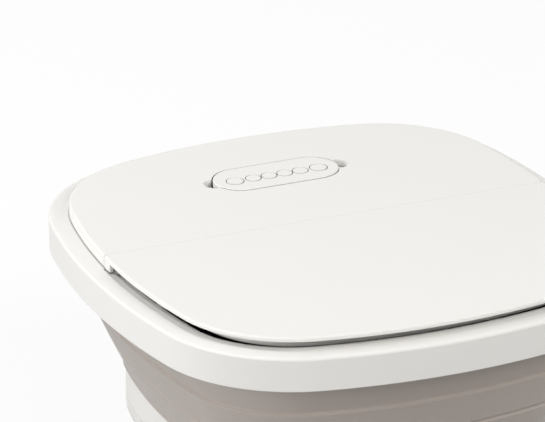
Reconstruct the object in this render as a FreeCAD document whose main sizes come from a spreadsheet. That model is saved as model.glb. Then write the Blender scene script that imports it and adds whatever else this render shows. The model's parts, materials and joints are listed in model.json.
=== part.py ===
"""Folding foot spa basin: separate pieces, exported one STEP file each.

Frame: millimetres, +Z up, origin on the floor at the centre of the footprint.
+X runs along the remote control, -Y is the front (the finger groove's side).
Most walls are rings that follow one outline of tangent arcs, so a place on
a ring is given as an inset from that outline and a height above the floor.
"""
import FreeCAD
import Part
import math
import os

import Sketcher

doc = FreeCAD.newDocument("FootSpa")
sheet = doc.addObject("Spreadsheet::Sheet", "Sizes")

# alias, value or formula, meaning
SIZES = [
    # outline of the rim, seen from above
    ("half_width", "210", "outline, half of its size along X"),
    ("half_depth", "223.8", "outline, half of its size along Y"),
    ("side_radius", "615", "radius of the two long side arcs"),
    ("front_radius", "494", "radius of the front and rear arcs"),
    ("corner_radius", "119", "radius of the four corner arcs"),
    # gaps and walls
    ("seat_gap", "0.3", "gap between a seated piece and its seat"),
    ("running_gap", "0.05", "radial gap of a screw or shaft in its bore"),
    ("base_wall", "3", "wall of the base"),
    ("rim_wall", "3", "wall of the rim frame"),
    ("bellows_wall", "3", "thickness of the bellows and its flanges"),
    ("case_wall", "1.6", "wall of the remote's case"),
    ("ring_room", "2", "space beside a clamp ring"),
    # heights of the base, from the floor up
    ("bottom_z", "5", "underside of the bottom cover, on its feet"),
    ("motor_radius", "13", "radius of the motor"),
    ("motor_room", "2.5", "free space over and under the motor"),
    ("floor_thickness", "3", "thickness of the basin's floor"),
    ("parting_gap", "0.3", "width of the base's parting line"),
    ("band_height", "27.4", "height of the base's upper band"),
    ("bottom_inside", "=bottom_z + base_wall", "inside of the bottom cover"),
    ("motor_z", "=bottom_inside + motor_room + motor_radius", "height of the motor's axis"),
    ("floor_under", "=motor_z + motor_radius + motor_room", "underside of the floor"),
    ("floor_top", "=floor_under + floor_thickness", "top of the basin's floor"),
    ("band_bottom", "=floor_under - 1", "parting line of the base"),
    ("cover_top", "=band_bottom - parting_gap", "top edge of the bottom cover"),
    ("bottom_rounding", "=band_bottom - bottom_z - 3", "rounding of the base's lower edge"),
    ("band_top", "=band_bottom + band_height", "top of the base's outer wall"),
    ("ledge", "=band_top - base_wall", "underside of the tub's ledge"),
    # heights of the rim and lid
    ("rim_top", "196.3", "top of the rim band"),
    ("skirt_height", "28.7", "height of the rim's outer skirt"),
    ("skirt_draft", "0.8", "inset of the skirt's lower edge"),
    ("rim_rounding", "2.4", "rounding of the rim's outer top edge"),
    ("skirt_rounding", "1.2", "rounding of the skirt's outer lower edge"),
    ("rim_seat_depth", "16", "depth of the bellows' seat under the rim's top"),
    ("rim_deck_depth", "5.6", "thickness of the rim's top, groove included"),
    ("groove_depth", "0.8", "depth of the finger groove"),
    ("lid_gap", "6.7", "height of the lid's plate over the rim"),
    ("lid_thickness", "3.6", "thickness of the lid's plate"),
    ("lid_rounding", "2.6", "rounding of the lid's top edge"),
    ("lid_skirt", "3", "thickness of the lid's seam skirt"),
    ("rib_height", "10", "height of the lid's ribs"),
    ("rib_width", "2", "thickness of the lid's ribs"),
    ("rib_gap", "3", "gap between the rim and the lid's locating rib"),
    ("skirt_bottom", "=rim_top - skirt_height", "lower edge of the rim's outer skirt"),
    ("rim_seat", "=rim_top - rim_seat_depth", "underside of the rim's inner wall"),
    ("rim_deck", "=rim_top - rim_deck_depth", "underside of the rim's top"),
    ("lid_under", "=rim_top + lid_gap", "underside of the lid's plate"),
    ("lid_top", "=lid_under + lid_thickness", "top of the lid"),
    ("lip_top", "=lid_under - seat_gap", "top of the rim's inner lip, under the lid"),
    ("skirt_top", "=rim_top + seat_gap", "lower edge of the lid's skirt"),
    # places across the rim and lid, inset from the outline
    ("groove_outer", "15.3", "inset of the finger groove's outer wall"),
    ("groove_width", "8.7", "width of the finger groove, under the lid's edge too"),
    ("lid_overhang", "7.15", "reach of the lid's edge over the groove"),
    ("groove_end", "4", "y where the finger groove ends on both sides"),
    ("groove_inner", "=groove_outer + groove_width", "inset of the groove's inner wall"),
    ("rim_inner", "=groove_inner + rim_wall", "inset of the rim frame's inner face"),
    ("lid_inset", "=groove_inner - lid_overhang", "inset of the lid's edge"),
    ("rib_inset", "=rim_inner + rib_gap", "inset of the lid's locating rib"),
    ("tab_half", "5", "half width of a tab under the flap's rib"),
    ("tab_top", "=lid_under - rib_height - seat_gap", "top of the tabs under the flap's rib"),
    ("tab_start", "=rim_inner + rib_width / 2", "inset where a tab grows from the rim's wall"),
    ("tab_end", "=rib_inset + rib_width * 3", "inset of a tab's free end"),
    ("bellows_top_inset", "14", "inset of the bellows inside the skirt"),
    ("clamp_height", "6", "height of both clamp rings"),
    # hinge
    ("hinge_y", "20.7", "line of the lid's living hinge"),
    ("hinge_gap", "0.6", "width of the living hinge"),
    ("hinge_web", "0.5", "thickness of the living hinge"),
    ("side_centre", "=half_width - side_radius", "x of the side arc's centre"),
    ("front_centre", "=half_depth - front_radius", "y of the front arc's centre"),
    ("skirt_side", "=side_centre + sqrt((side_radius - lid_inset) ^ 2 - hinge_y ^ 2)",
     "outer face of the flap's short skirts"),
    # remote control
    ("remote_y", "=half_depth * 6 / 11", "centre line of the remote control"),
    ("remote_length", "107.5", "length of the remote control"),
    ("remote_width", "46", "width of the remote control"),
    ("remote_gap", "0.9", "gap between remote and its recess"),
    ("remote_proud", "0.4", "height of the remote above the lid"),
    ("remote_bevel", "0.8", "bevel of the remote's top edge"),
    ("shell_split", "5", "depth of the joint between the remote's shells"),
    ("notch_reach", "9.5", "reach of a finger notch beyond the remote"),
    ("notch_width", "18.5", "width of a finger notch"),
    ("notch_depth", "6", "depth of a finger notch"),
    ("recess_wall", "2", "wall of the remote's recess under the lid"),
    ("board_depth", "8.6", "depth of the remote's board under its top"),
    ("cell_radius", "10", "radius of the coin cell"),
    ("cell_height", "3.2", "height of the coin cell"),
    ("cell_x", "18", "place of the coin cell"),
    ("board_sheet", "1.2", "thickness of the remote's board"),
    ("switch_half", "3", "half width of a switch on the remote's board"),
    ("switch_height", "1", "height of a switch on the remote's board"),
    ("pillar_radius", "2.5", "radius of a pillar under the remote's board"),
    ("slit_length", "12", "length of the coin slit in the battery door"),
    ("slit_width", "1.6", "width of the coin slit"),
    ("button_gap", "0.5", "gap round a button's cap"),
    ("button_proud", "0.2", "height of a button above the remote"),
    ("button_travel", "0.8", "travel of a button"),
    ("button_guide", "1.2", "thickness of a button's guide under the case"),
    ("stem_half", "1.5", "half width of a button's stem"),
    ("remote_depth", "=board_depth + cell_height + seat_gap * 2 + case_wall",
     "height of the remote's case"),
    ("remote_top", "=lid_top + remote_proud", "top of the remote"),
    ("remote_under", "=remote_top - remote_depth", "underside of the remote"),
    ("remote_split", "=remote_top - shell_split", "joint between the remote's shells"),
    ("recess_floor", "=remote_under - 0.5", "floor of the remote's recess"),
    ("board_under", "=remote_top - board_depth", "underside of the remote's board"),
    ("guide_top", "=remote_top - case_wall - seat_gap", "top of a button's guide"),
    ("switch_top", "=board_under + board_sheet + switch_height", "top of the switches"),
    ("stem_under", "=switch_top + button_travel + running_gap", "tip of a button's stem"),
    ("notch_length", "=remote_length + notch_reach * 2", "length over both notches"),
    ("door_radius", "=cell_radius + 2", "radius of the battery door"),
    ("pillar_x", "=(remote_length - remote_width) / 2 + pillar_radius * 3",
     "place of the remote's two pillars"),
    ("button_pitch", "=remote_length * 0.129", "distance between the four middle buttons"),
    ("button_radius", "=button_pitch * 0.45", "radius of a middle button's cap"),
    ("end_radius", "=button_pitch * 0.51", "radius of an end button's cap"),
    ("end_button_x", "=remote_length * 0.343", "place of the end buttons"),
    ("guide_half", "=button_radius + button_gap + running_gap * 2",
     "half width of a middle button's square guide"),
    ("end_guide_half", "=end_radius + button_gap + running_gap * 2",
     "half width of an end button's square guide"),
    ("button_y", "=remote_y - button_radius / 3", "line of the buttons"),
    # base and bellows, inset from the outline
    ("band_inset", "61.3", "inset of the base's outer wall"),
    ("ledge_width", "12.4", "width of the tub's ledge"),
    ("well_inset", "=band_inset + ledge_width", "inset of the basin's inner wall"),
    ("flat_inset", "=band_inset + bottom_rounding", "inset where the underside is flat"),
    ("bend_inset", "=flat_inset - (bottom_rounding - base_wall) * 0.7071",
     "middle of the bottom cover's inner slope, inset"),
    ("bend_z", "=bottom_z + bottom_rounding - (bottom_rounding - base_wall) * 0.7071",
     "middle of the bottom cover's inner slope, height"),
    ("bellows_foot_inset", "=band_inset - 2", "inset of the bellows' lower lip"),
    ("bellows_foot_z", "=band_top + 4", "height where the lower lip starts"),
    ("bellows_span", "=bellows_foot_inset - bellows_top_inset", "how far the bellows tapers"),
    ("bellows_rise", "=skirt_bottom - band_top", "height of the bellows in view"),
    ("ridge_inset", "=bellows_top_inset + bellows_span * 0.3587", "inset of the ridge"),
    ("ridge_z", "=band_top + bellows_rise * 0.684", "height of the ridge"),
    ("ridge_round", "2.2", "height of the ridge's ledge and of the rounding below it"),
    ("ridge_ledge", "0.9", "width of the ledge on the ridge"),
    ("ridge_below", "1.5", "inset gained by the rounding below the ridge"),
    ("fold_inset", "=bellows_top_inset + bellows_span * 0.6689", "inset of the inward fold"),
    ("fold_z", "=band_top + bellows_rise * 0.3542", "height of the inward fold"),
    ("fold_round", "2.6", "height of the fold's slopes"),
    ("fold_bite", "2", "depth of the inward fold"),
    ("fold_lead", "1.6", "inset lost by the slope above the fold"),
    ("fold_lip", "0.6", "inset gained by the slope below the fold"),
    ("bellows_lean", "1", "inset gained by the bellows inside the skirt"),
    ("bellows_top", "=rim_seat - seat_gap", "top of the bellows' upper flange"),
    ("upper_flange", "=bellows_top - bellows_wall", "underside of the upper flange"),
    ("upper_ring_top", "=upper_flange - seat_gap", "top of the upper clamp ring"),
    ("upper_ring", "=upper_ring_top - clamp_height", "underside of the upper clamp ring"),
    ("lower_flange", "=band_top + seat_gap", "underside of the bellows' lower flange"),
    ("lower_flange_top", "=lower_flange + bellows_wall", "top of the lower flange"),
    ("lower_ring", "=lower_flange_top + seat_gap", "underside of the lower clamp ring"),
    ("lower_ring_top", "=lower_ring + clamp_height", "top of the lower clamp ring"),
    ("flange_inner", "=well_inset - ring_room", "inner edge of the bellows' lower flange"),
    ("floor_rounding", "8", "rounding between the basin's wall and floor"),
    # drive
    ("hump_half_width", "25", "half width of the dry centre hump"),
    ("hump_rounding", "12", "corner rounding of the hump, from above"),
    ("hump_crown", "5", "rounding of the hump's top edge"),
    ("shaft_radius", "3", "radius of the roller shafts"),
    ("roller_radius", "16", "radius over the rollers' lobes"),
    ("roller_valley", "11.5", "radius between the rollers' lobes"),
    ("roller_room", "4", "free space between a roller and its well"),
    ("lobe_half", "3", "half width of a roller's lobe"),
    ("pulley_room", "5.5", "free space round a driven pulley in the hump"),
    ("pulley_cheek", "1.4", "thickness of a pulley's flange"),
    ("motor_nose", "2", "length of the motor's front boss"),
    ("nose_radius", "5", "radius of the motor's front boss"),
    ("bearing_half", "9", "half width of a bearing block"),
    ("seal_lip", "2", "reach of a shaft seal beyond the hump's wall"),
    ("driven_radius", "15", "radius of the driven pulleys"),
    ("drive_radius", "6", "radius of the motor pulley"),
    ("pulley_flange", "1.5", "height of a pulley's flange"),
    ("pulley_groove", "3.2", "width of a pulley's groove"),
    ("belt_offset", "8", "distance of each belt from the centre"),
    ("belt_thickness", "2.4", "thickness of a belt"),
    ("seal_radius", "7", "outer radius of a shaft seal"),
    ("bearing_width", "6", "width of a bearing block"),
    ("motor_length", "55", "length of the motor"),
    ("spindle_radius", "2", "radius of the motor's spindle"),
    ("shaft_y", "=half_depth / 3", "distance of both roller shafts from the centre"),
    ("shaft_z", "=floor_top + shaft_radius", "height of the roller shafts"),
    ("well_half", "=roller_radius + roller_room * 1.25", "half length of a roller well along Y"),
    ("well_floor", "=shaft_z - roller_radius - roller_room", "top of a roller well's floor"),
    ("well_end", "=half_width - well_inset - floor_rounding * 2",
     "outer end of a roller well along X"),
    ("hump_half_length", "=shaft_y + driven_radius + pulley_flange + pulley_room + base_wall",
     "half length of the dry centre hump"),
    ("hump_top", "=shaft_z + driven_radius + pulley_flange + pulley_room + base_wall",
     "top of the dry centre hump"),
    ("bearing_x", "=well_end - bearing_width * 1.5", "inner face of the bearing blocks"),
    ("roller_start", "=hump_half_width + seal_lip * 3", "inner end of a roller"),
    ("roller_end", "=bearing_x - bearing_width / 2", "outer end of a roller"),
    ("roller_third", "=(roller_end - roller_start) / 5", "length of a roller's row and waist"),
    ("roller_step", "=roller_third * 2", "distance between a roller's waists"),
    ("shaft_half_length", "=bearing_x + bearing_width + seat_gap", "half length of a shaft"),
    ("motor_near", "=hump_half_width + motor_nose", "near end of the motor"),
    ("motor_far", "=motor_near + motor_length", "far end of the motor"),
    # heater
    ("sump_half_width", "46", "half width of the heater sump"),
    ("sump_half_length", "18", "half length of the heater sump"),
    ("heater_radius", "3.5", "radius of the heating element's tube"),
    ("heater_leg", "10", "distance of the heating element's legs from its middle"),
    ("sensor_radius", "2.5", "radius of the temperature sensor"),
    ("sensor_x", "-14", "place of the temperature sensor along X"),
    ("grille_drop", "0.5", "depth of the heater grille below the floor"),
    ("grille_thickness", "2.5", "thickness of the heater grille"),
    ("slot_width", "3", "width of the grille's slots"),
    ("leg_radius", "2", "radius of the grille's legs"),
    ("sensor_length", "22", "length of the temperature sensor"),
    ("sump_y", "=hump_half_length + sump_half_length + base_wall * 2", "centre of the sump"),
    ("sump_floor", "=well_floor + leg_radius / 2", "top of the heater sump's floor"),
    ("heater_z", "=sump_floor + heater_radius * 2", "height of the heating element"),
    ("heater_left", "=-sump_half_width - base_wall - heater_leg", "ends of the heating element"),
    ("heater_bend", "=sump_half_width - heater_leg * 1.8",
     "place where the heating element turns back"),
    ("grille_top", "=floor_top - grille_drop", "top of the grille"),
    ("grille_under", "=grille_top - grille_thickness", "underside of the grille"),
    ("leg_inset", "=leg_radius * 1.5", "inset of the grille's legs"),
    ("slot_length", "=sump_half_width * 2 - leg_inset * 5", "length of the grille's slots"),
    ("slot_span", "=sump_half_length * 2 - slot_width * 3.4", "first to last slot"),
    # electrics, feet and fasteners
    ("gland_neck", "6", "radius of the cord gland's neck"),
    ("gland_rim", "2.6", "reach of the gland's flange round its neck"),
    ("gland_plate", "2.7", "thickness of the gland's flange"),
    ("gland_length", "12", "length of the cord gland"),
    ("cord_radius", "3.2", "bore of the cord gland"),
    ("gland_z", "=band_bottom + gland_neck * 1.5", "height of the cord gland"),
    ("screw_radius", "1.5", "radius of a screw's shank"),
    ("screw_head", "2.8", "radius of a screw's head"),
    ("head_height", "2", "height of a screw's head"),
    ("screw_hole", "1.8", "radius of a clearance hole"),
    ("boss_radius", "5", "radius of a screw boss under the tub"),
    ("boss_collar", "2.5", "reach of the cover's boss round the tub's"),
    ("screw_length", "20", "length of a cover screw's shank"),
    ("screw_recess", "2", "depth of a screw head below the cover"),
    ("foot_seat", "2", "depth of a foot's seat"),
    ("foot_bevel", "1.2", "bevel round a foot's sole"),
    ("post_radius", "3", "radius of a post under the control board"),
    ("panel_sheet", "1.6", "thickness of the control board"),
    ("part_margin", "6", "margin between the board's edge and its parts"),
    ("transformer_length", "24", "length of the transformer along Y"),
    ("transformer_width", "26", "width of the transformer along X"),
    ("transformer_height", "16", "height of the transformer"),
    ("relay_length", "12", "length of a relay along Y"),
    ("relay_width", "18", "width of a relay along X"),
    ("relay_height", "14", "height of a relay"),
    ("capacitor_radius", "7", "radius of the capacitor"),
    ("capacitor_height", "15", "height of the capacitor"),
    ("foot_radius", "13", "radius of a rubber foot"),
    ("foot_x", "=half_width - flat_inset - foot_radius * 2.25", "place of the feet along X"),
    ("foot_y", "=half_depth - flat_inset - foot_radius * 3.1", "place of the feet along Y"),
    ("cover_boss_top", "=(bottom_inside + floor_under) / 2 - foot_seat * 2",
     "where the bosses of cover and tub meet"),
    ("side_screw_x", "=half_width - flat_inset - boss_radius * 1.9",
     "place of the cover screws on the X axis"),
    ("end_screw_x", "=sump_half_width + base_wall * 1.5 + boss_radius * 2.3",
     "place of the end cover screws along X"),
    ("end_screw_y", "=half_depth - flat_inset - boss_radius * 2.1",
     "place of the end cover screws along Y"),
    ("board_left", "=hump_half_width + base_wall * 3", "inner edge of the control board"),
    ("board_right", "=side_screw_x - boss_radius * 2", "outer edge of the control board"),
    ("board_half", "=shaft_y - well_half - base_wall * 3", "half length of the control board"),
    ("board_z", "=bottom_inside + base_wall * 2", "underside of the control board"),
    # centre of the corner arc
    ("arc_span", "=sqrt(side_centre ^ 2 + front_centre ^ 2)", "between both centres"),
    ("arc_along", "=((front_radius - corner_radius) ^ 2 - (side_radius - corner_radius) ^ 2"
     " + arc_span ^ 2) / (2 * arc_span)", "corner centre, measured along the span"),
    ("arc_across", "=sqrt((front_radius - corner_radius) ^ 2 - arc_along ^ 2)",
     "corner centre, measured across the span"),
    ("corner_x", "=(side_centre * arc_along - front_centre * arc_across) / arc_span",
     "x of the corner arc's centre"),
    ("corner_y", "=front_centre - (front_centre * arc_along + side_centre * arc_across)"
     " / arc_span", "y of the corner arc's centre"),
]
for row, (alias, value, meaning) in enumerate(SIZES, start=1):
    sheet.set("A" + str(row), meaning)
    sheet.set("B" + str(row), value)
    sheet.setAlias("B" + str(row), alias)
doc.recompute()


# ---------------------------------------------------------------- helpers
def size(alias):
    """Value of one size in millimetres."""
    return float(sheet.get(alias))


def amount(formula):
    """Value of a sum of sizes, such as 'rim_top - rim_wall'."""
    total = 0.0
    sign = 1.0
    for word in str(formula).split():
        if word in "+-":
            sign = 1.0 if word == "+" else -1.0
            continue
        name, _, divisor = word.partition("/")
        negative = name.startswith("-")
        name = name.lstrip("-")
        number = size(name) if name[0].isalpha() else float(name)
        if negative:
            number = -number
        total += sign * number / (float(divisor) if divisor else 1.0)
    return total


def linked(formula):
    """The same sum as an expression on the spreadsheet."""
    words = []
    for word in str(formula).split():
        bare = word.lstrip("-")
        if bare[:1].isalpha():
            word = word.replace(bare, "Sizes." + bare)
        words.append(word)
    return " ".join(words)


def bind(feature, name, formula):
    """Set a property of a feature from the spreadsheet."""
    setattr(feature, name, amount(formula))
    feature.setExpression(name, linked(formula))


def new_body(label):
    body = doc.addObject("PartDesign::Body", label)
    body.Label = label
    body.AllowCompound = True
    return body


def new_sketch(body, role, offset="0", across="0", up="0"):
    """Sketch on an origin plane, moved along its normal and within it."""
    sketch = body.newObject("Sketcher::SketchObject", body.Name + "_sketch")
    for feature in body.Origin.OriginFeatures:
        if feature.Role == role:
            sketch.AttachmentSupport = (feature, "")
    sketch.MapMode = "FlatFace"
    move = FreeCAD.Vector(amount(across), amount(up), amount(offset))
    sketch.AttachmentOffset = FreeCAD.Placement(move, FreeCAD.Rotation())
    for axis, formula in (("x", across), ("y", up), ("z", offset)):
        if formula != "0":
            sketch.setExpression("AttachmentOffset.Base." + axis, linked(formula))
    return sketch


def fix(sketch, kind, geometry, point, formula):
    """Bind a point's distance from the sketch's origin to a formula."""
    index = sketch.addConstraint(
        Sketcher.Constraint(kind, -1, 1, geometry, point, amount(formula)))
    sketch.setExpression("Constraints[" + str(index) + "]", linked(formula))


def bind_radius(sketch, geometry, formula):
    index = sketch.addConstraint(
        Sketcher.Constraint("Radius", geometry, amount(formula)))
    sketch.setExpression("Constraints[" + str(index) + "]", linked(formula))


def circle(sketch, across, up, radius):
    centre = FreeCAD.Vector(amount(across), amount(up), 0)
    geometry = sketch.addGeometry(
        Part.Circle(centre, FreeCAD.Vector(0, 0, 1), amount(radius)), False)
    fix(sketch, "DistanceX", geometry, 3, across)
    fix(sketch, "DistanceY", geometry, 3, up)
    bind_radius(sketch, geometry, radius)
    return geometry


def polygon(sketch, points):
    """Closed loop of lines through points given as pairs of formulas."""
    places = [FreeCAD.Vector(amount(x), amount(y), 0) for x, y in points]
    lines = []
    for number, start in enumerate(places):
        end = places[(number + 1) % len(places)]
        lines.append(sketch.addGeometry(Part.LineSegment(start, end), False))
    for number, line in enumerate(lines):
        following = lines[(number + 1) % len(lines)]
        sketch.addConstraint(Sketcher.Constraint("Coincident", line, 2, following, 1))
    for line, (x, y) in zip(lines, points):
        fix(sketch, "DistanceX", line, 1, x)
        fix(sketch, "DistanceY", line, 1, y)
    return lines


def rectangle(sketch, left, low, right, high):
    return polygon(sketch, [(left, low), (right, low), (right, high), (left, high)])


def stadium(sketch, x, y, length, width, grow="0"):
    """Pill shape along the sketch's X axis, round ends."""
    half_turn = math.pi / 2
    radius = amount(width + "/2 + " + grow)
    reach = amount(length + "/2") - amount(width + "/2")
    middle = FreeCAD.Vector(amount(x), amount(y), 0)
    up = FreeCAD.Vector(0, radius, 0)
    side = FreeCAD.Vector(reach, 0, 0)
    axis = FreeCAD.Vector(0, 0, 1)
    right = sketch.addGeometry(Part.ArcOfCircle(
        Part.Circle(middle + side, axis, radius), -half_turn, half_turn), False)
    top = sketch.addGeometry(Part.LineSegment(middle + side + up, middle - side + up), False)
    left = sketch.addGeometry(Part.ArcOfCircle(
        Part.Circle(middle - side, axis, radius), half_turn, 3 * half_turn), False)
    low = sketch.addGeometry(Part.LineSegment(middle - side - up, middle + side - up), False)
    for first, second, ends in ((right, top, (2, 1)), (top, left, (2, 1)),
                                (left, low, (2, 1)), (low, right, (2, 1))):
        sketch.addConstraint(Sketcher.Constraint(
            "Tangent", first, ends[0], second, ends[1]))
    bind_radius(sketch, right, width + "/2 + " + grow)
    fix(sketch, "DistanceX", right, 3, x + " + " + length + "/2 - " + width + "/2")
    fix(sketch, "DistanceX", left, 3, x + " - " + length + "/2 + " + width + "/2")
    fix(sketch, "DistanceY", right, 3, y)
    fix(sketch, "DistanceY", left, 3, y)


def corner_ends():
    """Centre of the corner arc, and the directions of its two ends."""
    centre = FreeCAD.Vector(size("corner_x"), size("corner_y"), 0)
    start = math.atan2(centre.y, centre.x - size("side_centre"))
    end = math.atan2(centre.y - size("front_centre"), centre.x)
    return centre, start, end


def arc_of(sketch, middle, radius, first, last):
    circle_ = Part.Circle(middle, FreeCAD.Vector(0, 0, 1), radius)
    return sketch.addGeometry(Part.ArcOfCircle(circle_, first, last), False)


def arc_centres():
    side = FreeCAD.Vector(size("side_centre"), 0, 0)
    front = FreeCAD.Vector(0, size("front_centre"), 0)
    corner, start, end = corner_ends()
    other = FreeCAD.Vector(-corner.x, corner.y, 0)
    return side, front, corner, other, start, end


def radius_of(name, inset):
    """A size less a sum of insets."""
    if inset == "0":
        return name
    swap = {"+": "-", "-": "+"}
    return name + " - " + " ".join(swap.get(word, word) for word in inset.split())


def outline(sketch, inset):
    """Whole outline moved inwards, with one of its points at y = 0."""
    side, front, corner, other, start, end = arc_centres()
    names = ("side_radius", "corner_radius", "front_radius", "corner_radius", "side_radius",
             "corner_radius", "front_radius", "corner_radius", "side_radius")
    middles = (side, corner, front, other, side * -1, corner * -1, front * -1, other * -1, side)
    pi = math.pi
    turns = (0, start, end, pi - end, pi - start, pi + start, pi + end,
             2 * pi - end, 2 * pi - start, 2 * pi)
    arcs = []
    for number, (name, middle) in enumerate(zip(names, middles)):
        radius = amount(radius_of(name, inset))
        arcs.append(arc_of(sketch, middle, radius, turns[number], turns[number + 1]))
    for number in range(8):
        sketch.addConstraint(Sketcher.Constraint(
            "Tangent", arcs[number], 2, arcs[number + 1], 1))
        bind_radius(sketch, arcs[number], radius_of(names[number], inset))
    sketch.addConstraint(Sketcher.Constraint("Coincident", arcs[8], 2, arcs[0], 1))
    sketch.addConstraint(Sketcher.Constraint("Coincident", arcs[8], 3, arcs[0], 3))
    fix(sketch, "DistanceY", arcs[0], 1, "0")
    for arc, x, y in ((arcs[0], "side_centre", "0"), (arcs[4], "-side_centre", "0"),
                      (arcs[2], "0", "front_centre"), (arcs[6], "0", "-front_centre")):
        fix(sketch, "DistanceX", arc, 3, x)
        fix(sketch, "DistanceY", arc, 3, y)


def open_outline(sketch, inset, y_end, rear):
    """The outline's rear or front part, open where it meets y = y_end."""
    side, front, corner, other, start, end = arc_centres()
    pi = math.pi
    tip = math.asin(amount(y_end) / amount(radius_of("side_radius", inset)))
    names = ("side_radius", "corner_radius", "front_radius", "corner_radius", "side_radius")
    if rear:
        middles = (side, corner, front, other, side * -1)
        turns = (tip, start, end, pi - end, pi - start, pi - tip)
        places = ("side_centre", "front_centre", "-side_centre")
    else:
        middles = (side * -1, corner * -1, front * -1, other * -1, side)
        turns = (pi - tip, pi + start, pi + end, 2 * pi - end, 2 * pi - start, 2 * pi + tip)
        places = ("-side_centre", "-front_centre", "side_centre")
    arcs = []
    for number, (name, middle) in enumerate(zip(names, middles)):
        radius = amount(radius_of(name, inset))
        arcs.append(arc_of(sketch, middle, radius, turns[number], turns[number + 1]))
        bind_radius(sketch, arcs[number], radius_of(name, inset))
    for number in range(4):
        sketch.addConstraint(Sketcher.Constraint(
            "Tangent", arcs[number], 2, arcs[number + 1], 1))
    for arc, x, y in ((arcs[0], places[0], "0"), (arcs[2], "0", places[1]),
                      (arcs[4], places[2], "0")):
        fix(sketch, "DistanceX", arc, 3, x)
        fix(sketch, "DistanceY", arc, 3, y)
    fix(sketch, "DistanceY", arcs[0], 1, y_end)
    fix(sketch, "DistanceY", arcs[4], 2, y_end)
    return arcs


def join(sketch, first, first_end, second, second_end):
    """Straight line from one arc's end to another's."""
    places = [sketch.getPoint(first, first_end), sketch.getPoint(second, second_end)]
    line = sketch.addGeometry(Part.LineSegment(*places), False)
    sketch.addConstraint(Sketcher.Constraint("Coincident", first, first_end, line, 1))
    sketch.addConstraint(Sketcher.Constraint("Coincident", line, 2, second, second_end))


def half_plate(sketch, inset, y_end, rear):
    arcs = open_outline(sketch, inset, y_end, rear)
    join(sketch, arcs[4], 2, arcs[0], 1)


def half_ring(sketch, outer, inner, y_end, rear):
    wide = open_outline(sketch, outer, y_end, rear)
    narrow = open_outline(sketch, inner, y_end, rear)
    join(sketch, wide[4], 2, narrow[4], 2)
    join(sketch, narrow[0], 1, wide[0], 1)


def loop(sketch, x1, y1, r1, x2, y2, r2):
    """Belt line round two circles."""
    first = FreeCAD.Vector(amount(x1), amount(y1), 0)
    second = FreeCAD.Vector(amount(x2), amount(y2), 0)
    span = second - first
    heading = math.atan2(span.y, span.x)
    lean = math.acos((amount(r1) - amount(r2)) / span.Length)
    up, down = heading + lean, heading - lean
    near = arc_of(sketch, first, amount(r1), up, down + 2 * math.pi)
    far = arc_of(sketch, second, amount(r2), down, up)
    ends = [sketch.getPoint(near, 2), sketch.getPoint(far, 1)]
    low = sketch.addGeometry(Part.LineSegment(*ends), False)
    ends = [sketch.getPoint(far, 2), sketch.getPoint(near, 1)]
    high = sketch.addGeometry(Part.LineSegment(*ends), False)
    for one, one_end, two, two_end in ((near, 2, low, 1), (low, 2, far, 1),
                                       (far, 2, high, 1), (high, 2, near, 1)):
        sketch.addConstraint(Sketcher.Constraint("Tangent", one, one_end, two, two_end))
    for arc, x, y, radius in ((near, x1, y1, r1), (far, x2, y2, r2)):
        fix(sketch, "DistanceX", arc, 3, x)
        fix(sketch, "DistanceY", arc, 3, y)
        bind_radius(sketch, arc, radius)


def extrude(body, sketch, length, kind="PartDesign::Pad", flip=False):
    """Pad or pocket of a sketch; a pocket cuts against the sketch's normal."""
    feature = body.newObject(kind, body.Name + "_" + kind.split("::")[1].lower())
    feature.Profile = sketch
    feature.Type = 0
    bind(feature, "Length", length)
    feature.Reversed = flip
    sketch.Visibility = False
    doc.recompute()
    return feature


def pad(body, sketch, length, flip=False):
    return extrude(body, sketch, length, "PartDesign::Pad", flip)


def pocket(body, sketch, length, flip=False):
    return extrude(body, sketch, length, "PartDesign::Pocket", flip)


def ring(body, points):
    """Sweep a section, given as pairs of inset and height, round the outline."""
    spine = new_sketch(body, "XY_Plane")
    outline(spine, "0")
    section = new_sketch(body, "XZ_Plane")
    polygon(section, [(radius_of("half_width", inset), height) for inset, height in points])
    doc.recompute()
    feature = body.newObject("PartDesign::AdditivePipe", body.Name + "_ring")
    feature.Profile = section
    feature.Spine = (spine, [])
    feature.Mode = "Standard"
    doc.recompute()
    return feature


def arcs_at(feature, inset, height):
    """Names of the ring's edges at one inset and height."""
    radii = [amount(radius_of(name, inset))
             for name in ("side_radius", "front_radius", "corner_radius")]
    level = amount(height)
    names = []
    for number, edge in enumerate(feature.Shape.Edges, start=1):
        box = edge.BoundBox
        flat = abs(box.ZMin - level) < 1e-3 and abs(box.ZMax - level) < 1e-3
        if flat and hasattr(edge.Curve, "Radius"):
            if min(abs(edge.Curve.Radius - radius) for radius in radii) < 1e-3:
                names.append("Edge" + str(number))
    return names


def dress(body, base, edges, radius, kind="PartDesign::Fillet"):
    """Round or chamfer edges of the body's last feature."""
    feature = body.newObject(kind, body.Name + "_" + kind.split("::")[1].lower())
    feature.Base = (base, edges)
    bind(feature, "Radius" if kind.endswith("Fillet") else "Size", radius)
    doc.recompute()
    return feature


def edges_where(feature, test):
    return ["Edge" + str(number) for number, edge in enumerate(feature.Shape.Edges, start=1)
            if test(edge)]


def four(sketch, x, y, radius):
    for across in (x, "-" + x):
        for up in (y, "-" + y):
            circle(sketch, across, up, radius)


def six(sketch, radius):
    """Circles at the six cover screws."""
    four(sketch, "end_screw_x", "end_screw_y", radius)
    circle(sketch, "side_screw_x", "0", radius)
    circle(sketch, "-side_screw_x", "0", radius)


def disc(body, role, offset, x, y, radius, length, flip=False):
    sketch = new_sketch(body, role, offset)
    circle(sketch, x, y, radius)
    return pad(body, sketch, length, flip)


def hole(body, role, offset, x, y, radius, length, flip=False):
    sketch = new_sketch(body, role, offset)
    circle(sketch, x, y, radius)
    return pocket(body, sketch, length, flip)


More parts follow.
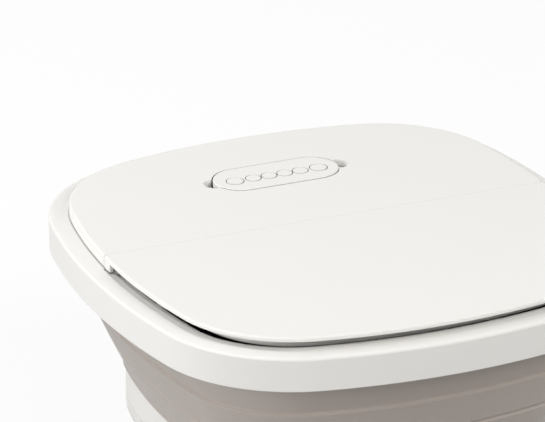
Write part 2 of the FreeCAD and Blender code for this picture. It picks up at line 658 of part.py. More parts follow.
def turned(body, offset, y, z, radius, length, bore="0"):
    """Disc or ring on an axis along X."""
    sketch = new_sketch(body, "YZ_Plane", offset)
    circle(sketch, y, z, radius)
    if bore != "0":
        circle(sketch, y, z, bore)
    return pad(body, sketch, length)


def repeat(body, kind, original, direction, count):
    """Pattern of one feature, left open for its length or angle."""
    pattern = body.newObject(kind, body.Name + "_" + kind.split("::")[1].lower())
    pattern.Originals = [original]
    if kind.endswith("PolarPattern"):
        pattern.Axis = direction
        pattern.Angle = 360
    else:
        pattern.Direction = direction
    pattern.Occurrences = count
    body.Tip = pattern
    return pattern


# ---------------------------------------------------------------- rim
# hollow band with a skirt outside, a lip under the lid, a finger groove through the lip
# and tabs inside that carry the flap where the lip is cut away
rim = new_body("rim_frame")
rim_ring = ring(rim, [
    ("skirt_draft", "skirt_bottom"), ("0", "rim_top"),
    ("groove_inner", "rim_top"), ("groove_inner", "lip_top"),
    ("rim_inner", "lip_top"), ("rim_inner", "rim_seat"),
    ("groove_inner", "rim_seat"), ("groove_inner", "rim_deck"),
    ("rim_wall", "rim_deck"), ("rim_wall + skirt_draft", "skirt_bottom")])
last = dress(rim, rim_ring, arcs_at(rim_ring, "0", "rim_top"), "rim_rounding")
dress(rim, last, arcs_at(last, "skirt_draft", "skirt_bottom"), "skirt_rounding")
groove = new_sketch(rim, "XY_Plane", "lip_top")
half_ring(groove, "groove_outer", "rim_inner + seat_gap", "groove_end", False)
pocket(rim, groove, "lip_top - rim_top + groove_depth")
tabs = new_sketch(rim, "XY_Plane", "tab_top - rim_wall")
for side in ("", "-"):
    inward = " - " if side == "" else " + "
    rectangle(tabs, side + "half_width/4 - tab_half", "tab_start - half_depth",
              side + "half_width/4 + tab_half", "tab_end - half_depth")
    rectangle(tabs, side + "half_width" + inward + "tab_start", "-half_depth/4 - tab_half",
              side + "half_width" + inward + "tab_end", "-half_depth/4 + tab_half")
pad(rim, tabs, "rim_wall")

# clamp ring that holds the bellows' top flange against the rim
upper = new_body("upper_clamp_ring")
upper_outer = "bellows_top_inset + bellows_wall + ring_room"
ring(upper, [(upper_outer, "upper_ring"), (upper_outer, "upper_ring_top"),
             ("rim_inner", "upper_ring_top"), ("rim_inner", "upper_ring")])

# ---------------------------------------------------------------- bellows
# soft wall of two cones with a ridge and an inward fold, flanged at both ends
bellows = new_body("bellows_wall")
outside = [
    ("bellows_top_inset", "bellows_top"),
    ("bellows_top_inset", "upper_flange"),
    ("bellows_top_inset + bellows_lean", "skirt_bottom"),
    ("ridge_inset + ridge_ledge", "ridge_z + ridge_round"),
    ("ridge_inset", "ridge_z"),
    ("ridge_inset + ridge_below", "ridge_z - ridge_round"),
    ("fold_inset - fold_lead", "fold_z + fold_round"),
    ("fold_inset + fold_bite", "fold_z"),
    ("fold_inset + fold_lip", "fold_z - fold_round"),
    ("bellows_foot_inset", "bellows_foot_z"),
    ("bellows_foot_inset", "lower_flange"),
]
inside = [
    ("flange_inner", "lower_flange"),
    ("flange_inner", "lower_flange_top"),
    ("bellows_foot_inset + bellows_wall", "lower_flange_top"),
    ("fold_inset + fold_bite + bellows_wall", "fold_z"),
    ("ridge_inset + ridge_ledge + bellows_wall", "ridge_z + ridge_round"),
    ("bellows_top_inset + bellows_lean + bellows_wall", "skirt_bottom"),
    ("bellows_top_inset + bellows_wall", "upper_flange"),
    ("rim_inner", "upper_flange"),
    ("rim_inner", "bellows_top"),
]
ring(bellows, outside + inside)

# clamp ring that holds the bellows' lower flange on the tub's ledge
lower = new_body("lower_clamp_ring")
lower_outer = "bellows_foot_inset + bellows_wall + ring_room"
ring(lower, [(lower_outer, "lower_ring"), (lower_outer, "lower_ring_top"),
             ("flange_inner", "lower_ring_top"), ("flange_inner", "lower_ring")])

# ---------------------------------------------------------------- tub
# outer band, ledge under the bellows, inner wall and floor
tub = new_body("base_tub")
ring(tub, [("band_inset", "band_bottom"), ("band_inset", "band_top"),
           ("well_inset", "band_top"), ("well_inset", "floor_under"),
           ("well_inset - base_wall", "floor_under"), ("well_inset - base_wall", "ledge"),
           ("band_inset + base_wall", "ledge"), ("band_inset + base_wall", "band_bottom")])
floor = new_sketch(tub, "XY_Plane", "floor_under")
outline(floor, "well_inset - base_wall/2")
last = pad(tub, floor, "floor_thickness")
# rounded foot of the basin's inner wall
last = dress(tub, last, arcs_at(last, "well_inset", "floor_top"), "floor_rounding")
# dry hump between the feet
hump = new_sketch(tub, "XY_Plane", "floor_under")
rectangle(hump, "-hump_half_width", "-hump_half_length", "hump_half_width", "hump_half_length")
last = pad(tub, hump, "hump_top - floor_under")
corners = edges_where(last, lambda edge: (
    edge.BoundBox.ZLength > size("hump_crown") and edge.BoundBox.XLength < 0.01
    and abs(abs(edge.BoundBox.XMin) - size("hump_half_width")) < 0.01
    and abs(abs(edge.BoundBox.YMin) - size("hump_half_length")) < 0.01))
last = dress(tub, last, corners, "hump_rounding")
crown = edges_where(last, lambda edge: (
    abs(edge.BoundBox.ZMin - size("hump_top")) < 0.01))
last = dress(tub, last, crown, "hump_crown")
# four roller wells and the heater's sump hang under the floor
wells = new_sketch(tub, "XY_Plane", "floor_under")
cavities = new_sketch(tub, "XY_Plane", "floor_top")
for side in ("", "-"):
    for end in ("", "-"):
        near = side + "hump_half_width"
        far = side + "well_end"
        out = " + " if side == "" else " - "
        back = " - " if side == "" else " + "
        low = end + "shaft_y - well_half"
        high = end + "shaft_y + well_half"
        rectangle(wells, near + back + "base_wall", low + " - base_wall",
                  far + out + "base_wall", high + " + base_wall")
        rectangle(cavities, near, low, far, high)
rectangle(wells, "-sump_half_width - base_wall", "sump_y - sump_half_length - base_wall",
          "sump_half_width + base_wall", "sump_y + sump_half_length + base_wall")
rectangle(cavities, "-sump_half_width", "sump_y - sump_half_length",
          "sump_half_width", "sump_y + sump_half_length")
pad(tub, wells, "floor_top - well_floor", True)
pocket(tub, cavities, "floor_top - well_floor")
# dry space of the hump, open to the space under the floor
dry = new_sketch(tub, "XY_Plane", "hump_top - base_wall")
rectangle(dry, "base_wall - hump_half_width", "base_wall - hump_half_length",
          "hump_half_width - base_wall", "hump_half_length - base_wall")
pocket(tub, dry, "hump_top - floor_under")
# bores for the shaft seals
for end in ("", "-"):
    hole(tub, "YZ_Plane", "-hump_half_width - seal_lip", end + "shaft_y", "shaft_z",
         "seal_radius + running_gap", "hump_half_width + seal_lip + hump_half_width + seal_lip",
         True)
# threaded bosses for the bottom cover's screws
bosses = new_sketch(tub, "XY_Plane", "cover_boss_top + seat_gap")
six(bosses, "boss_radius")
pad(tub, bosses, "floor_under - cover_boss_top - seat_gap")
threads = new_sketch(tub, "XY_Plane", "cover_boss_top")
six(threads, "screw_radius + running_gap")
pocket(tub, threads, "floor_under - base_wall - cover_boss_top", True)
# passages for the heater's terminals, the sensor and the cord gland
for place in ("sump_y + heater_leg", "sump_y - heater_leg"):
    hole(tub, "YZ_Plane", "-sump_half_width - base_wall - seat_gap", place, "heater_z",
         "heater_radius + running_gap", "base_wall + heater_radius", True)
hole(tub, "XY_Plane", "sump_floor + seat_gap", "sensor_x", "sump_y",
     "sensor_radius + running_gap", "base_wall + base_wall")
hole(tub, "XZ_Plane", "band_inset - half_depth - seat_gap", "0", "gland_z",
     "gland_neck + running_gap", "base_wall + base_wall", True)

# ---------------------------------------------------------------- bottom cover
cover = new_body("bottom_cover")
flat_edge = "flat_inset + ring_room"
shell = ring(cover, [("band_inset", "cover_top"), ("band_inset", "bottom_z"),
                     (flat_edge, "bottom_z"), (flat_edge, "bottom_inside"),
                     ("flat_inset", "bottom_inside"), ("bend_inset", "bend_z"),
                     ("band_inset + base_wall", "bottom_z + bottom_rounding"),
                     ("band_inset + base_wall", "cover_top")])
shell = dress(cover, shell, arcs_at(shell, "band_inset", "bottom_z"), "bottom_rounding")
flat = new_sketch(cover, "XY_Plane", "bottom_z")
outline(flat, "flat_inset + ring_room/2")
pad(cover, flat, "base_wall")
# bosses round the cover screws and pads over the feet's seats
bosses = new_sketch(cover, "XY_Plane", "bottom_inside")
six(bosses, "boss_radius + boss_collar")
pad(cover, bosses, "cover_boss_top - bottom_inside")
raised = new_sketch(cover, "XY_Plane", "bottom_inside")
four(raised, "foot_x", "foot_y", "foot_radius + foot_seat")
pad(cover, raised, "foot_seat")
seats = new_sketch(cover, "XY_Plane", "bottom_z")
four(seats, "foot_x", "foot_y", "foot_radius + seat_gap")
pocket(cover, seats, "foot_seat", True)
for radius, depth in (("screw_hole", "cover_boss_top - bottom_z"),
                      ("screw_head + seat_gap", "screw_recess + head_height")):
    holes = new_sketch(cover, "XY_Plane", "bottom_z")
    six(holes, radius)
    pocket(cover, holes, depth, True)
# posts under the control board
posts = new_sketch(cover, "XY_Plane", "bottom_inside")
for across in ("board_left + part_margin", "board_right - part_margin"):
    for up in ("board_half - part_margin", "part_margin - board_half"):
        circle(posts, across, up, "post_radius")
pad(cover, posts, "board_z - seat_gap - bottom_inside")

feet = new_body("rubber_feet")
soles = new_sketch(feet, "XY_Plane")
four(soles, "foot_x", "foot_y", "foot_radius")
sole = pad(feet, soles, "bottom_z + foot_seat - seat_gap")
dress(feet, sole, edges_where(sole, lambda edge: edge.BoundBox.ZMax < 0.01), "foot_bevel",
      "PartDesign::Chamfer")

cover_screws = new_body("cover_screws")
heads = new_sketch(cover_screws, "XY_Plane", "bottom_z + screw_recess - seat_gap")
six(heads, "screw_head")
pad(cover_screws, heads, "head_height")
shanks = new_sketch(cover_screws, "XY_Plane", "bottom_z + head_height")
six(shanks, "screw_radius")
pad(cover_screws, shanks, "screw_length")

# ---------------------------------------------------------------- lid
# rear half: plate, seam skirt, locating rib and the recess that holds the remote
rear_lid = new_body("lid_rear_half")
plate = new_sketch(rear_lid, "XY_Plane", "lid_under")
half_plate(plate, "lid_inset", "hinge_y + hinge_gap/2", True)
last = pad(rear_lid, plate, "lid_thickness")
last = dress(rear_lid, last, arcs_at(last, "lid_inset", "lid_top"), "lid_rounding")
skirt = new_sketch(rear_lid, "XY_Plane", "skirt_top")
half_ring(skirt, "lid_inset", "lid_inset + lid_skirt", "hinge_y + hinge_gap/2", True)
pad(rear_lid, skirt, "lid_under - skirt_top")
rib = new_sketch(rear_lid, "XY_Plane", "lid_under")
half_ring(rib, "rib_inset", "rib_inset + rib_width", "hinge_y + rib_height", True)
pad(rear_lid, rib, "rib_height", True)
tray = new_sketch(rear_lid, "XY_Plane", "recess_floor - recess_wall")
stadium(tray, "0", "remote_y", "remote_length", "remote_width", "remote_gap + recess_wall")
pad(rear_lid, tray, "lid_under - recess_floor + recess_wall")
tray = new_sketch(rear_lid, "XY_Plane", "lid_top - notch_depth - recess_wall")
stadium(tray, "0", "remote_y", "notch_length", "notch_width", "recess_wall")
pad(rear_lid, tray, "notch_depth + recess_wall - lid_thickness")
notches = new_sketch(rear_lid, "XY_Plane", "lid_top")
stadium(notches, "0", "remote_y", "notch_length", "notch_width")
pocket(rear_lid, notches, "notch_depth")
recess = new_sketch(rear_lid, "XY_Plane", "lid_top")
stadium(recess, "0", "remote_y", "remote_length", "remote_width", "remote_gap")
pocket(rear_lid, recess, "lid_top - recess_floor")

# front half: plate over the finger groove, skirts only behind it, ribs underneath
flap = new_body("lid_front_flap")
plate = new_sketch(flap, "XY_Plane", "lid_under")
half_plate(plate, "lid_inset", "hinge_y - hinge_gap/2", False)
last = pad(flap, plate, "lid_thickness")
dress(flap, last, arcs_at(last, "lid_inset", "lid_top"), "lid_rounding")
skirt = new_sketch(flap, "XY_Plane", "skirt_top")
for side in ("", "-"):
    inward = " - " if side == "" else " + "
    rectangle(skirt, side + "skirt_side" + inward + "lid_skirt", "groove_end + seat_gap",
              side + "skirt_side", "hinge_y - hinge_gap/2")
pad(flap, skirt, "lid_under - skirt_top")
rib = new_sketch(flap, "XY_Plane", "lid_under")
half_ring(rib, "rib_inset", "rib_inset + rib_width", "hinge_y - rib_height", False)
pad(flap, rib, "rib_height", True)
stiffeners = new_sketch(flap, "XY_Plane", "lid_under")
for place in ("-half_width/2", "0", "half_width/2"):
    rectangle(stiffeners, place + " - rib_width/2", "corner_radius - half_depth",
              place + " + rib_width/2", "hinge_y - rib_height")
pad(flap, stiffeners, "rib_height", True)

# living hinge between the halves, flush with the lid's top
web = new_body("lid_hinge_web")
strip = new_sketch(web, "XY_Plane", "lid_top - hinge_web")
rectangle(strip, "lid_rounding + seat_gap - skirt_side", "hinge_y - hinge_gap/2",
          "skirt_side - lid_rounding - seat_gap", "hinge_y + hinge_gap/2")
pad(web, strip, "hinge_web")

# ---------------------------------------------------------------- remote
# each button's place along X, its cap's radius and its guide's half width
buttons = [("-end_button_x", "end_radius", "end_guide_half")]
for place in ("-button_pitch - button_pitch/2", "-button_pitch/2", "button_pitch/2",
              "button_pitch + button_pitch/2"):
    buttons.append((place, "button_radius", "guide_half"))
buttons.append(("end_button_x", "end_radius", "end_guide_half"))

top_shell = new_body("remote_top_shell")
case = new_sketch(top_shell, "XY_Plane", "remote_split")
stadium(case, "0", "remote_y", "remote_length", "remote_width")
last = pad(top_shell, case, "remote_top - remote_split")
brim = edges_where(last, lambda edge: edge.BoundBox.ZMin > size("remote_top") - 0.01)
dress(top_shell, last, brim, "remote_bevel", "PartDesign::Chamfer")
hollow = new_sketch(top_shell, "XY_Plane", "remote_split")
stadium(hollow, "0", "remote_y", "remote_length", "remote_width", "0 - case_wall")
pocket(top_shell, hollow, "remote_top - remote_split - case_wall", True)
openings = new_sketch(top_shell, "XY_Plane", "remote_top")
for place, radius, guide_width in buttons:
    circle(openings, place, "button_y", radius + " + button_gap")
pocket(top_shell, openings, "case_wall + seat_gap")

bottom_shell = new_body("remote_bottom_shell")
case = new_sketch(bottom_shell, "XY_Plane", "remote_under")
stadium(case, "0", "remote_y", "remote_length", "remote_width")
pad(bottom_shell, case, "remote_split - remote_under - seat_gap")
hollow = new_sketch(bottom_shell, "XY_Plane", "remote_under + case_wall")
stadium(hollow, "0", "remote_y", "remote_length", "remote_width", "0 - case_wall")
pocket(bottom_shell, hollow, "remote_depth", True)
hole(bottom_shell, "XY_Plane", "remote_under", "cell_x", "remote_y",
     "door_radius + seat_gap", "case_wall", True)
pillars = new_sketch(bottom_shell, "XY_Plane", "remote_under + case_wall")
for across in ("pillar_x", "-pillar_x"):
    circle(pillars, across, "remote_y", "pillar_radius")
pad(bottom_shell, pillars, "board_under - seat_gap - remote_under - case_wall")

# each button is a cap with a square guide under the case and a stem over its switch
for number, (place, radius, guide_width) in enumerate(buttons, start=1):
    button = new_body("remote_button_" + str(number))
    disc(button, "XY_Plane", "guide_top", place, "button_y", radius,
         "case_wall + seat_gap + button_proud")
    for half, depth in ((guide_width, "button_guide"), ("stem_half", "guide_top - stem_under")):
        guide = new_sketch(button, "XY_Plane", "guide_top")
        rectangle(guide, place + " - " + half, "button_y - " + half,
                  place + " + " + half, "button_y + " + half)
        pad(button, guide, depth, True)

board = new_body("remote_board")
card = new_sketch(board, "XY_Plane", "board_under")
stadium(card, "0", "remote_y", "remote_length", "remote_width", "0 - case_wall - seat_gap")
pad(board, card, "board_sheet")
switches = new_sketch(board, "XY_Plane", "board_under + board_sheet")
for place, radius, guide_width in buttons:
    rectangle(switches, place + " - switch_half", "button_y - switch_half",
              place + " + switch_half", "button_y + switch_half")
pad(board, switches, "switch_height")

cell = new_body("remote_cell")
disc(cell, "XY_Plane", "remote_under + case_wall + seat_gap", "cell_x", "remote_y",
     "cell_radius", "cell_height")
door = new_body("remote_battery_door")
disc(door, "XY_Plane", "remote_under", "cell_x", "remote_y", "door_radius", "case_wall")
slit = new_sketch(door, "XY_Plane", "remote_under")
rectangle(slit, "cell_x - slit_length/2", "remote_y - slit_width/2",
          "cell_x + slit_length/2", "remote_y + slit_width/2")
pocket(door, slit, "case_wall/2", True)

# ---------------------------------------------------------------- drive
motor_bore = "spindle_radius + running_gap"
motor = new_body("massage_motor")
turned(motor, "-motor_far", "0", "motor_z", "motor_radius", "motor_length", motor_bore)
turned(motor, "-motor_near", "0", "motor_z", "nose_radius", "motor_nose", motor_bore)
cradle = new_body("motor_cradle")
saddle = new_sketch(cradle, "YZ_Plane", "nose_radius - motor_far")
rectangle(saddle, "-motor_radius", "bottom_inside + seat_gap",
          "motor_radius", "motor_z - motor_nose")
pad(cradle, saddle, "motor_length - nose_radius - nose_radius")
hole(cradle, "YZ_Plane", "nose_radius - motor_far", "0", "motor_z",
     "motor_radius + running_gap", "motor_length - nose_radius - nose_radius", True)


def pulley_at(body, offset, y, z, radius, bore="0"):
    """Belt groove between two flanges, its middle at the offset."""
    for start, reach, width in (
            (" - pulley_groove/2 - pulley_cheek", " + pulley_flange", "pulley_cheek"),
            (" - pulley_groove/2", "", "pulley_groove"),
            (" + pulley_groove/2", " + pulley_flange", "pulley_cheek")):
        turned(body, offset + start, y, z, radius + reach, width, bore)


spindle = new_body("motor_pulley")
turned(spindle, "nose_radius - motor_far", "0", "motor_z", "spindle_radius",
       "motor_far - nose_radius + belt_offset + nose_radius")
for offset in ("-belt_offset", "belt_offset"):
    pulley_at(spindle, offset, "0", "motor_z", "drive_radius")

axle_bore = "shaft_radius + running_gap"
for name, y, offset in (("front", "-shaft_y", "-belt_offset"), ("rear", "shaft_y", "belt_offset")):
    shaft = new_body(name + "_roller_shaft")
    turned(shaft, "-shaft_half_length", y, "shaft_z", "shaft_radius",
           "shaft_half_length + shaft_half_length")
    pulley = new_body(name + "_pulley")
    pulley_at(pulley, offset, y, "shaft_z", "driven_radius", axle_bore)
    belt = new_body(name + "_belt")
    loops = new_sketch(belt, "YZ_Plane", offset + " - belt_thickness/2")
    for grow in ("", " + belt_thickness"):
        loop(loops, "0", "motor_z", "drive_radius + seat_gap" + grow,
             y, "shaft_z", "driven_radius + seat_gap" + grow)
    pad(belt, loops, "belt_thickness")
    for side, start in (("left", "-roller_end"), ("right", "roller_start")):
        # core with three rows of six kneading lobes
        roller = new_body(name + "_" + side + "_roller")
        turned(roller, start, y, "shaft_z", "roller_valley", "roller_end - roller_start",
               axle_bore)
        lobe = new_sketch(roller, "YZ_Plane", start, y, "shaft_z")
        polygon(lobe, [("-lobe_half - lobe_half/2", "roller_valley - lobe_half"),
                       ("lobe_half + lobe_half/2", "roller_valley - lobe_half"),
                       ("lobe_half", "roller_radius"), ("-lobe_half", "roller_radius")])
        row = pad(roller, lobe, "roller_end - roller_start")
        repeat(roller, "PartDesign::PolarPattern", row, (lobe, ["N_Axis"]), 6)
        doc.recompute()
        waist = new_sketch(roller, "YZ_Plane", start + " + roller_third", y, "shaft_z")
        circle(waist, "0", "0", "roller_radius + roller_room/2")
        circle(waist, "0", "0", "roller_valley + lobe_half/4")
        cut = pocket(roller, waist, "roller_third", True)
        rows = repeat(roller, "PartDesign::LinearPattern", cut, (waist, ["N_Axis"]), 2)
        bind(rows, "Length", "roller_step")
        doc.recompute()

seals = new_body("shaft_seals")
for y in ("-shaft_y", "shaft_y"):
    for offset in ("-hump_half_width - seal_lip", "hump_half_width - base_wall"):
        turned(seals, offset, y, "shaft_z", "seal_radius", "base_wall + seal_lip", axle_bore)
bearings = new_body("roller_bearings")
for offset in ("-bearing_x - bearing_width", "bearing_x"):
    blocks = new_sketch(bearings, "YZ_Plane", offset)
    for y in ("-shaft_y", "shaft_y"):
        rectangle(blocks, y + " - bearing_half", "well_floor + seat_gap",
                  y + " + bearing_half", "shaft_z + bearing_half")
        circle(blocks, y, "shaft_z", axle_bore)
    pad(bearings, blocks, "bearing_width")

# ---------------------------------------------------------------- heater
heater = new_body("heating_element")
path = new_sketch(heater, "XY_Plane", "heater_z")
left, bend = amount("heater_left"), amount("heater_bend")
high, low = amount("sump_y + heater_leg"), amount("sump_y - heater_leg")
upper_leg = path.addGeometry(Part.LineSegment(
    FreeCAD.Vector(left, high, 0), FreeCAD.Vector(bend, high, 0)), False)
turn = arc_of(path, FreeCAD.Vector(bend, amount("sump_y"), 0), amount("heater_leg"),
              -math.pi / 2, math.pi / 2)
lower_leg = path.addGeometry(Part.LineSegment(
    FreeCAD.Vector(bend, low, 0), FreeCAD.Vector(left, low, 0)), False)
path.addConstraint(Sketcher.Constraint("Tangent", upper_leg, 2, turn, 2))
path.addConstraint(Sketcher.Constraint("Tangent", turn, 1, lower_leg, 1))
fix(path, "DistanceX", upper_leg, 1, "heater_left")
fix(path, "DistanceX", turn, 3, "heater_bend")
fix(path, "DistanceY", turn, 3, "sump_y")
fix(path, "DistanceX", lower_leg, 2, "heater_left")
bind_radius(path, turn, "heater_leg")
for leg in (upper_leg, lower_leg):
    path.addConstraint(Sketcher.Constraint("Horizontal", leg))
section = new_sketch(heater, "YZ_Plane", "heater_left")
circle(section, "sump_y + heater_leg", "heater_z", "heater_radius")
doc.recompute()
tube = heater.newObject("PartDesign::AdditivePipe", "heater_tube")
tube.Profile = section
tube.Spine = (path, [])
doc.recompute()

# slotted plate on four legs over the heater
grille = new_body("heater_grille")
panel = new_sketch(grille, "XY_Plane", "grille_under")
rectangle(panel, "seat_gap - sump_half_width", "sump_y - sump_half_length + seat_gap",
          "sump_half_width - seat_gap", "sump_y + sump_half_length - seat_gap")
pad(grille, panel, "grille_thickness")
slot = new_sketch(grille, "XY_Plane", "grille_top")
stadium(slot, "0", "sump_y - slot_span/2", "slot_length", "slot_width")
cut = pocket(grille, slot, "grille_thickness")
slots = repeat(grille, "PartDesign::LinearPattern", cut, (slot, ["V_Axis"]), 5)
bind(slots, "Length", "slot_span")
doc.recompute()
legs = new_sketch(grille, "XY_Plane", "grille_under")
for across in ("sump_half_width - leg_inset", "leg_inset - sump_half_width"):
    for up in ("sump_y - sump_half_length + leg_inset", "sump_y + sump_half_length - leg_inset"):
        circle(legs, across, up, "leg_radius")
pad(grille, legs, "grille_under - sump_floor - seat_gap", True)

sensor = new_body("temperature_sensor")
disc(sensor, "XY_Plane", "heater_z", "sensor_x", "sump_y", "sensor_radius",
     "sensor_length", True)

# ---------------------------------------------------------------- electrics
# board with a transformer, two relays and a capacitor
mains = new_body("control_board")
panel = new_sketch(mains, "XY_Plane", "board_z")
rectangle(panel, "board_left", "-board_half", "board_right", "board_half")
pad(mains, panel, "panel_sheet")
inner = "board_left + part_margin"
for low, length, width, height in (
        ("-relay_length - transformer_length", "transformer_length", "transformer_width",
         "transformer_height"),
        ("0", "relay_length", "relay_width", "relay_height"),
        ("relay_length + part_margin", "relay_length", "relay_width", "relay_height")):
    block = new_sketch(mains, "XY_Plane", "board_z + panel_sheet")
    rectangle(block, inner, low, inner + " + " + width, low + " + " + length)
    pad(mains, block, height)
disc(mains, "XY_Plane", "board_z + panel_sheet", "board_right - capacitor_radius - part_margin",
     "relay_length", "capacitor_radius", "capacitor_height")

gland = new_body("cord_gland")
disc(gland, "XZ_Plane", "band_inset - half_depth - gland_plate - seat_gap", "0", "gland_z",
     "gland_neck + gland_rim", "gland_plate")
disc(gland, "XZ_Plane", "band_inset - half_depth - gland_plate - seat_gap", "0", "gland_z",
     "gland_neck", "gland_length")
disc(gland, "XZ_Plane", "band_inset - half_depth + base_wall + seat_gap", "0", "gland_z",
     "gland_neck + gland_rim/2", "gland_plate")
hole(gland, "XZ_Plane", "band_inset - half_depth - gland_length", "0", "gland_z",
     "cord_radius", "gland_length + gland_length", True)

# ---------------------------------------------------------------- export
doc.recompute()
for feature in doc.Objects:
    if "Invalid" in feature.State or "Error" in feature.State:
        raise RuntimeError(feature.Label + " did not compute")
bodies = [feature for feature in doc.Objects if feature.TypeId == "PartDesign::Body"]
for body in bodies:
    if body.Shape.isNull() or not body.Shape.isValid():
        raise RuntimeError(body.Label + " has no valid shape")
os.makedirs("parts", exist_ok=True)
for body in bodies:
    body.Shape.exportStep("parts/" + body.Label + ".step")
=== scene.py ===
"""Looks of the folding foot spa basin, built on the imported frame.

Shapes are written in millimetres and made in metres. Walls that follow the
basin's outline are swept: a section of (inset, height) pairs is carried round
stations of the outline, each with its own outward direction.
"""
import bmesh
import bpy
import json
import math
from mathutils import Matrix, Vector


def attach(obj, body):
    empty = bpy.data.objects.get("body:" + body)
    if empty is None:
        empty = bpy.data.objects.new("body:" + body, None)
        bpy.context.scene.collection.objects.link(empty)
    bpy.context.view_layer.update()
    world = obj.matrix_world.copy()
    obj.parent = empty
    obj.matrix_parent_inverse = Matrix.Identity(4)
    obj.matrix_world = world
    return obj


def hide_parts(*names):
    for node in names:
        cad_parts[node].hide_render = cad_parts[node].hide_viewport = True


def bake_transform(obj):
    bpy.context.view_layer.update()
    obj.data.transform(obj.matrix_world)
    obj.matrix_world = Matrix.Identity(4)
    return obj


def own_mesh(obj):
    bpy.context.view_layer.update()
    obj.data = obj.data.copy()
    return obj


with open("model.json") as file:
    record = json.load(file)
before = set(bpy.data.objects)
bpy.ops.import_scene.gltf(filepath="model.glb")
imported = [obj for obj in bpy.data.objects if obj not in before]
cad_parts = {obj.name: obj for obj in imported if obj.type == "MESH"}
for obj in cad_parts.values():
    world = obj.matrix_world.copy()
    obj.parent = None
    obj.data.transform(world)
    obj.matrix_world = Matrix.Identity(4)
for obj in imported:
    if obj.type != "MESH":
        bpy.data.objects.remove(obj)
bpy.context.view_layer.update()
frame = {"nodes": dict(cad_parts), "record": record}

MM = 0.001

# outline of the rim, seen from above
HALF_WIDTH = 210.0
HALF_DEPTH = 223.8
SIDE_RADIUS = 615.0
FRONT_RADIUS = 494.0
CORNER_RADIUS = 119.0
# what seats is this far from its seat
SEAT_GAP = 0.3
# heights, from the top down
RIM_TOP = 196.3
LID_UNDER = RIM_TOP + 6.7
LID_THICKNESS = 3.6
LID_TOP = LID_UNDER + LID_THICKNESS
LIP_TOP = LID_UNDER - SEAT_GAP
GROOVE_FLOOR = RIM_TOP - 1.0
LEDGE_FLOOR = RIM_TOP - 3.0
RIM_DECK = RIM_TOP - 5.6
RIM_SEAT = RIM_TOP - 16.0
SKIRT_BOTTOM = RIM_TOP - 28.7
FLANGE = 3.0
RING_HEIGHT = 6.0
BELLOWS_TOP = RIM_SEAT - SEAT_GAP
FLANGE_UNDER = BELLOWS_TOP - FLANGE
UPPER_RING = FLANGE_UNDER - SEAT_GAP - RING_HEIGHT
BAND_TOP = 65.4
BELLOWS_FOOT = BAND_TOP + SEAT_GAP
FLANGE_TOP = BELLOWS_FOOT + FLANGE
LOWER_RING_TOP = FLANGE_TOP + SEAT_GAP + RING_HEIGHT
BOTTOM = 5.0
# insets from the outline
GROOVE_OUTER = 15.3
GROOVE_INNER = 24.0
RIM_INNER = 27.0
RIM_WALL = 3.0
SKIRT_DRAFT = 0.8
LID_INSET = GROOVE_INNER - 7.15
BAND_INSET = 61.3
WELL_INSET = 73.7
FLAT_INSET = BAND_INSET + 30.0
# inset where the groove's floor steps down to the ledge, at the sides and at the front
STEP_SIDE = 21.0
STEP_FRONT = 25.8
# width that the groove's floor keeps at its tip, slope and rounding of its edges, and the least
# width of the ledge
TIP_WIDTH = 0.5
GROOVE_SLOPE = 0.3
GROOVE_ROUND = 0.3
LEDGE_WIDTH = 0.2
LIP_DRAFT = 0.1
# places along Y where the groove starts to run out, and where it ends
GROOVE_END = 8.0
GROOVE_TIP = 18.0
STATION_STEP = 0.3
# a station this near to one of those places counts as on it
NEAR = 0.1
# keeps the section's corners apart where the rim has no groove or no lip
HAIR = 0.002
# lid
LID_ROUND = 1.8
LID_SKIRT = 3.0
SKIRT_REACH = LID_UNDER - RIM_TOP - 0.12
# the lower edges of the skirt, and of the plate where it has no skirt, are cut off slantwise
SKIRT_EASE = 0.3
UNDER_EASE = 0.4
# hinge strip: its place, width and half length, the parts it is divided into and its heights
HINGE_Y = 20.7
HINGE_GAP = 0.6
HINGE_REACH = 189.5
HINGE_PARTS = 80
HINGE_TOP = LID_TOP - 0.08
HINGE_UNDER = LID_TOP - 0.5
# ribs under the lid, which go this far up into its plate, and the tabs below them
SUNK = 0.4
RIB_INSET = RIM_INNER + 8.0
RIB_WIDTH = 2.0
RIB_HEIGHT = 11.5
RIB_UNDER = LID_UNDER - RIB_HEIGHT
RIB_ROUND = 0.6
TAB_HALF = 5.0
TAB_THICKNESS = 3.0
TAB_ROUND = 0.8
TAB_MARGIN = 1.0
# bellows: its ends, the ridge and the inward fold
BELLOWS_WALL = 3.0
BELLOWS_TOP_INSET = 14.0
FOOT_INSET = BAND_INSET - 2.0
FLANGE_INSET = WELL_INSET - 2.0
SPAN = FOOT_INSET - BELLOWS_TOP_INSET
RISE = SKIRT_BOTTOM - BAND_TOP
RIDGE_INSET = BELLOWS_TOP_INSET + SPAN * 0.3587
RIDGE_Z = BAND_TOP + RISE * 0.684
FOLD_INSET = BELLOWS_TOP_INSET + SPAN * 0.6689
FOLD_Z = BAND_TOP + RISE * 0.3542
# remote control and the recess that holds it
REMOTE_Y = HALF_DEPTH * 6 / 11
REMOTE_LENGTH = 107.5
REMOTE_WIDTH = 46.0
REMOTE_GAP = 0.9
REMOTE_TOP = LID_TOP + 0.4
CASE_WALL = 1.6
CASE_INSIDE = REMOTE_TOP - CASE_WALL
CASE_SPLIT = REMOTE_TOP - 5.0
CASE_ROUND = 0.8
CASE_EASE = 0.3
TRAY_FLOOR = REMOTE_TOP - 14.5
TRAY_WALL = 2.0
NOTCH_LENGTH = REMOTE_LENGTH + 19.0
NOTCH_WIDTH = 18.5
NOTCH_FLOOR = LID_TOP - 6.0
# solids that join the lid end this far inside it, and those that cut it rise this far above it
OVERLAP = 1.0
CLEAR = 3.0
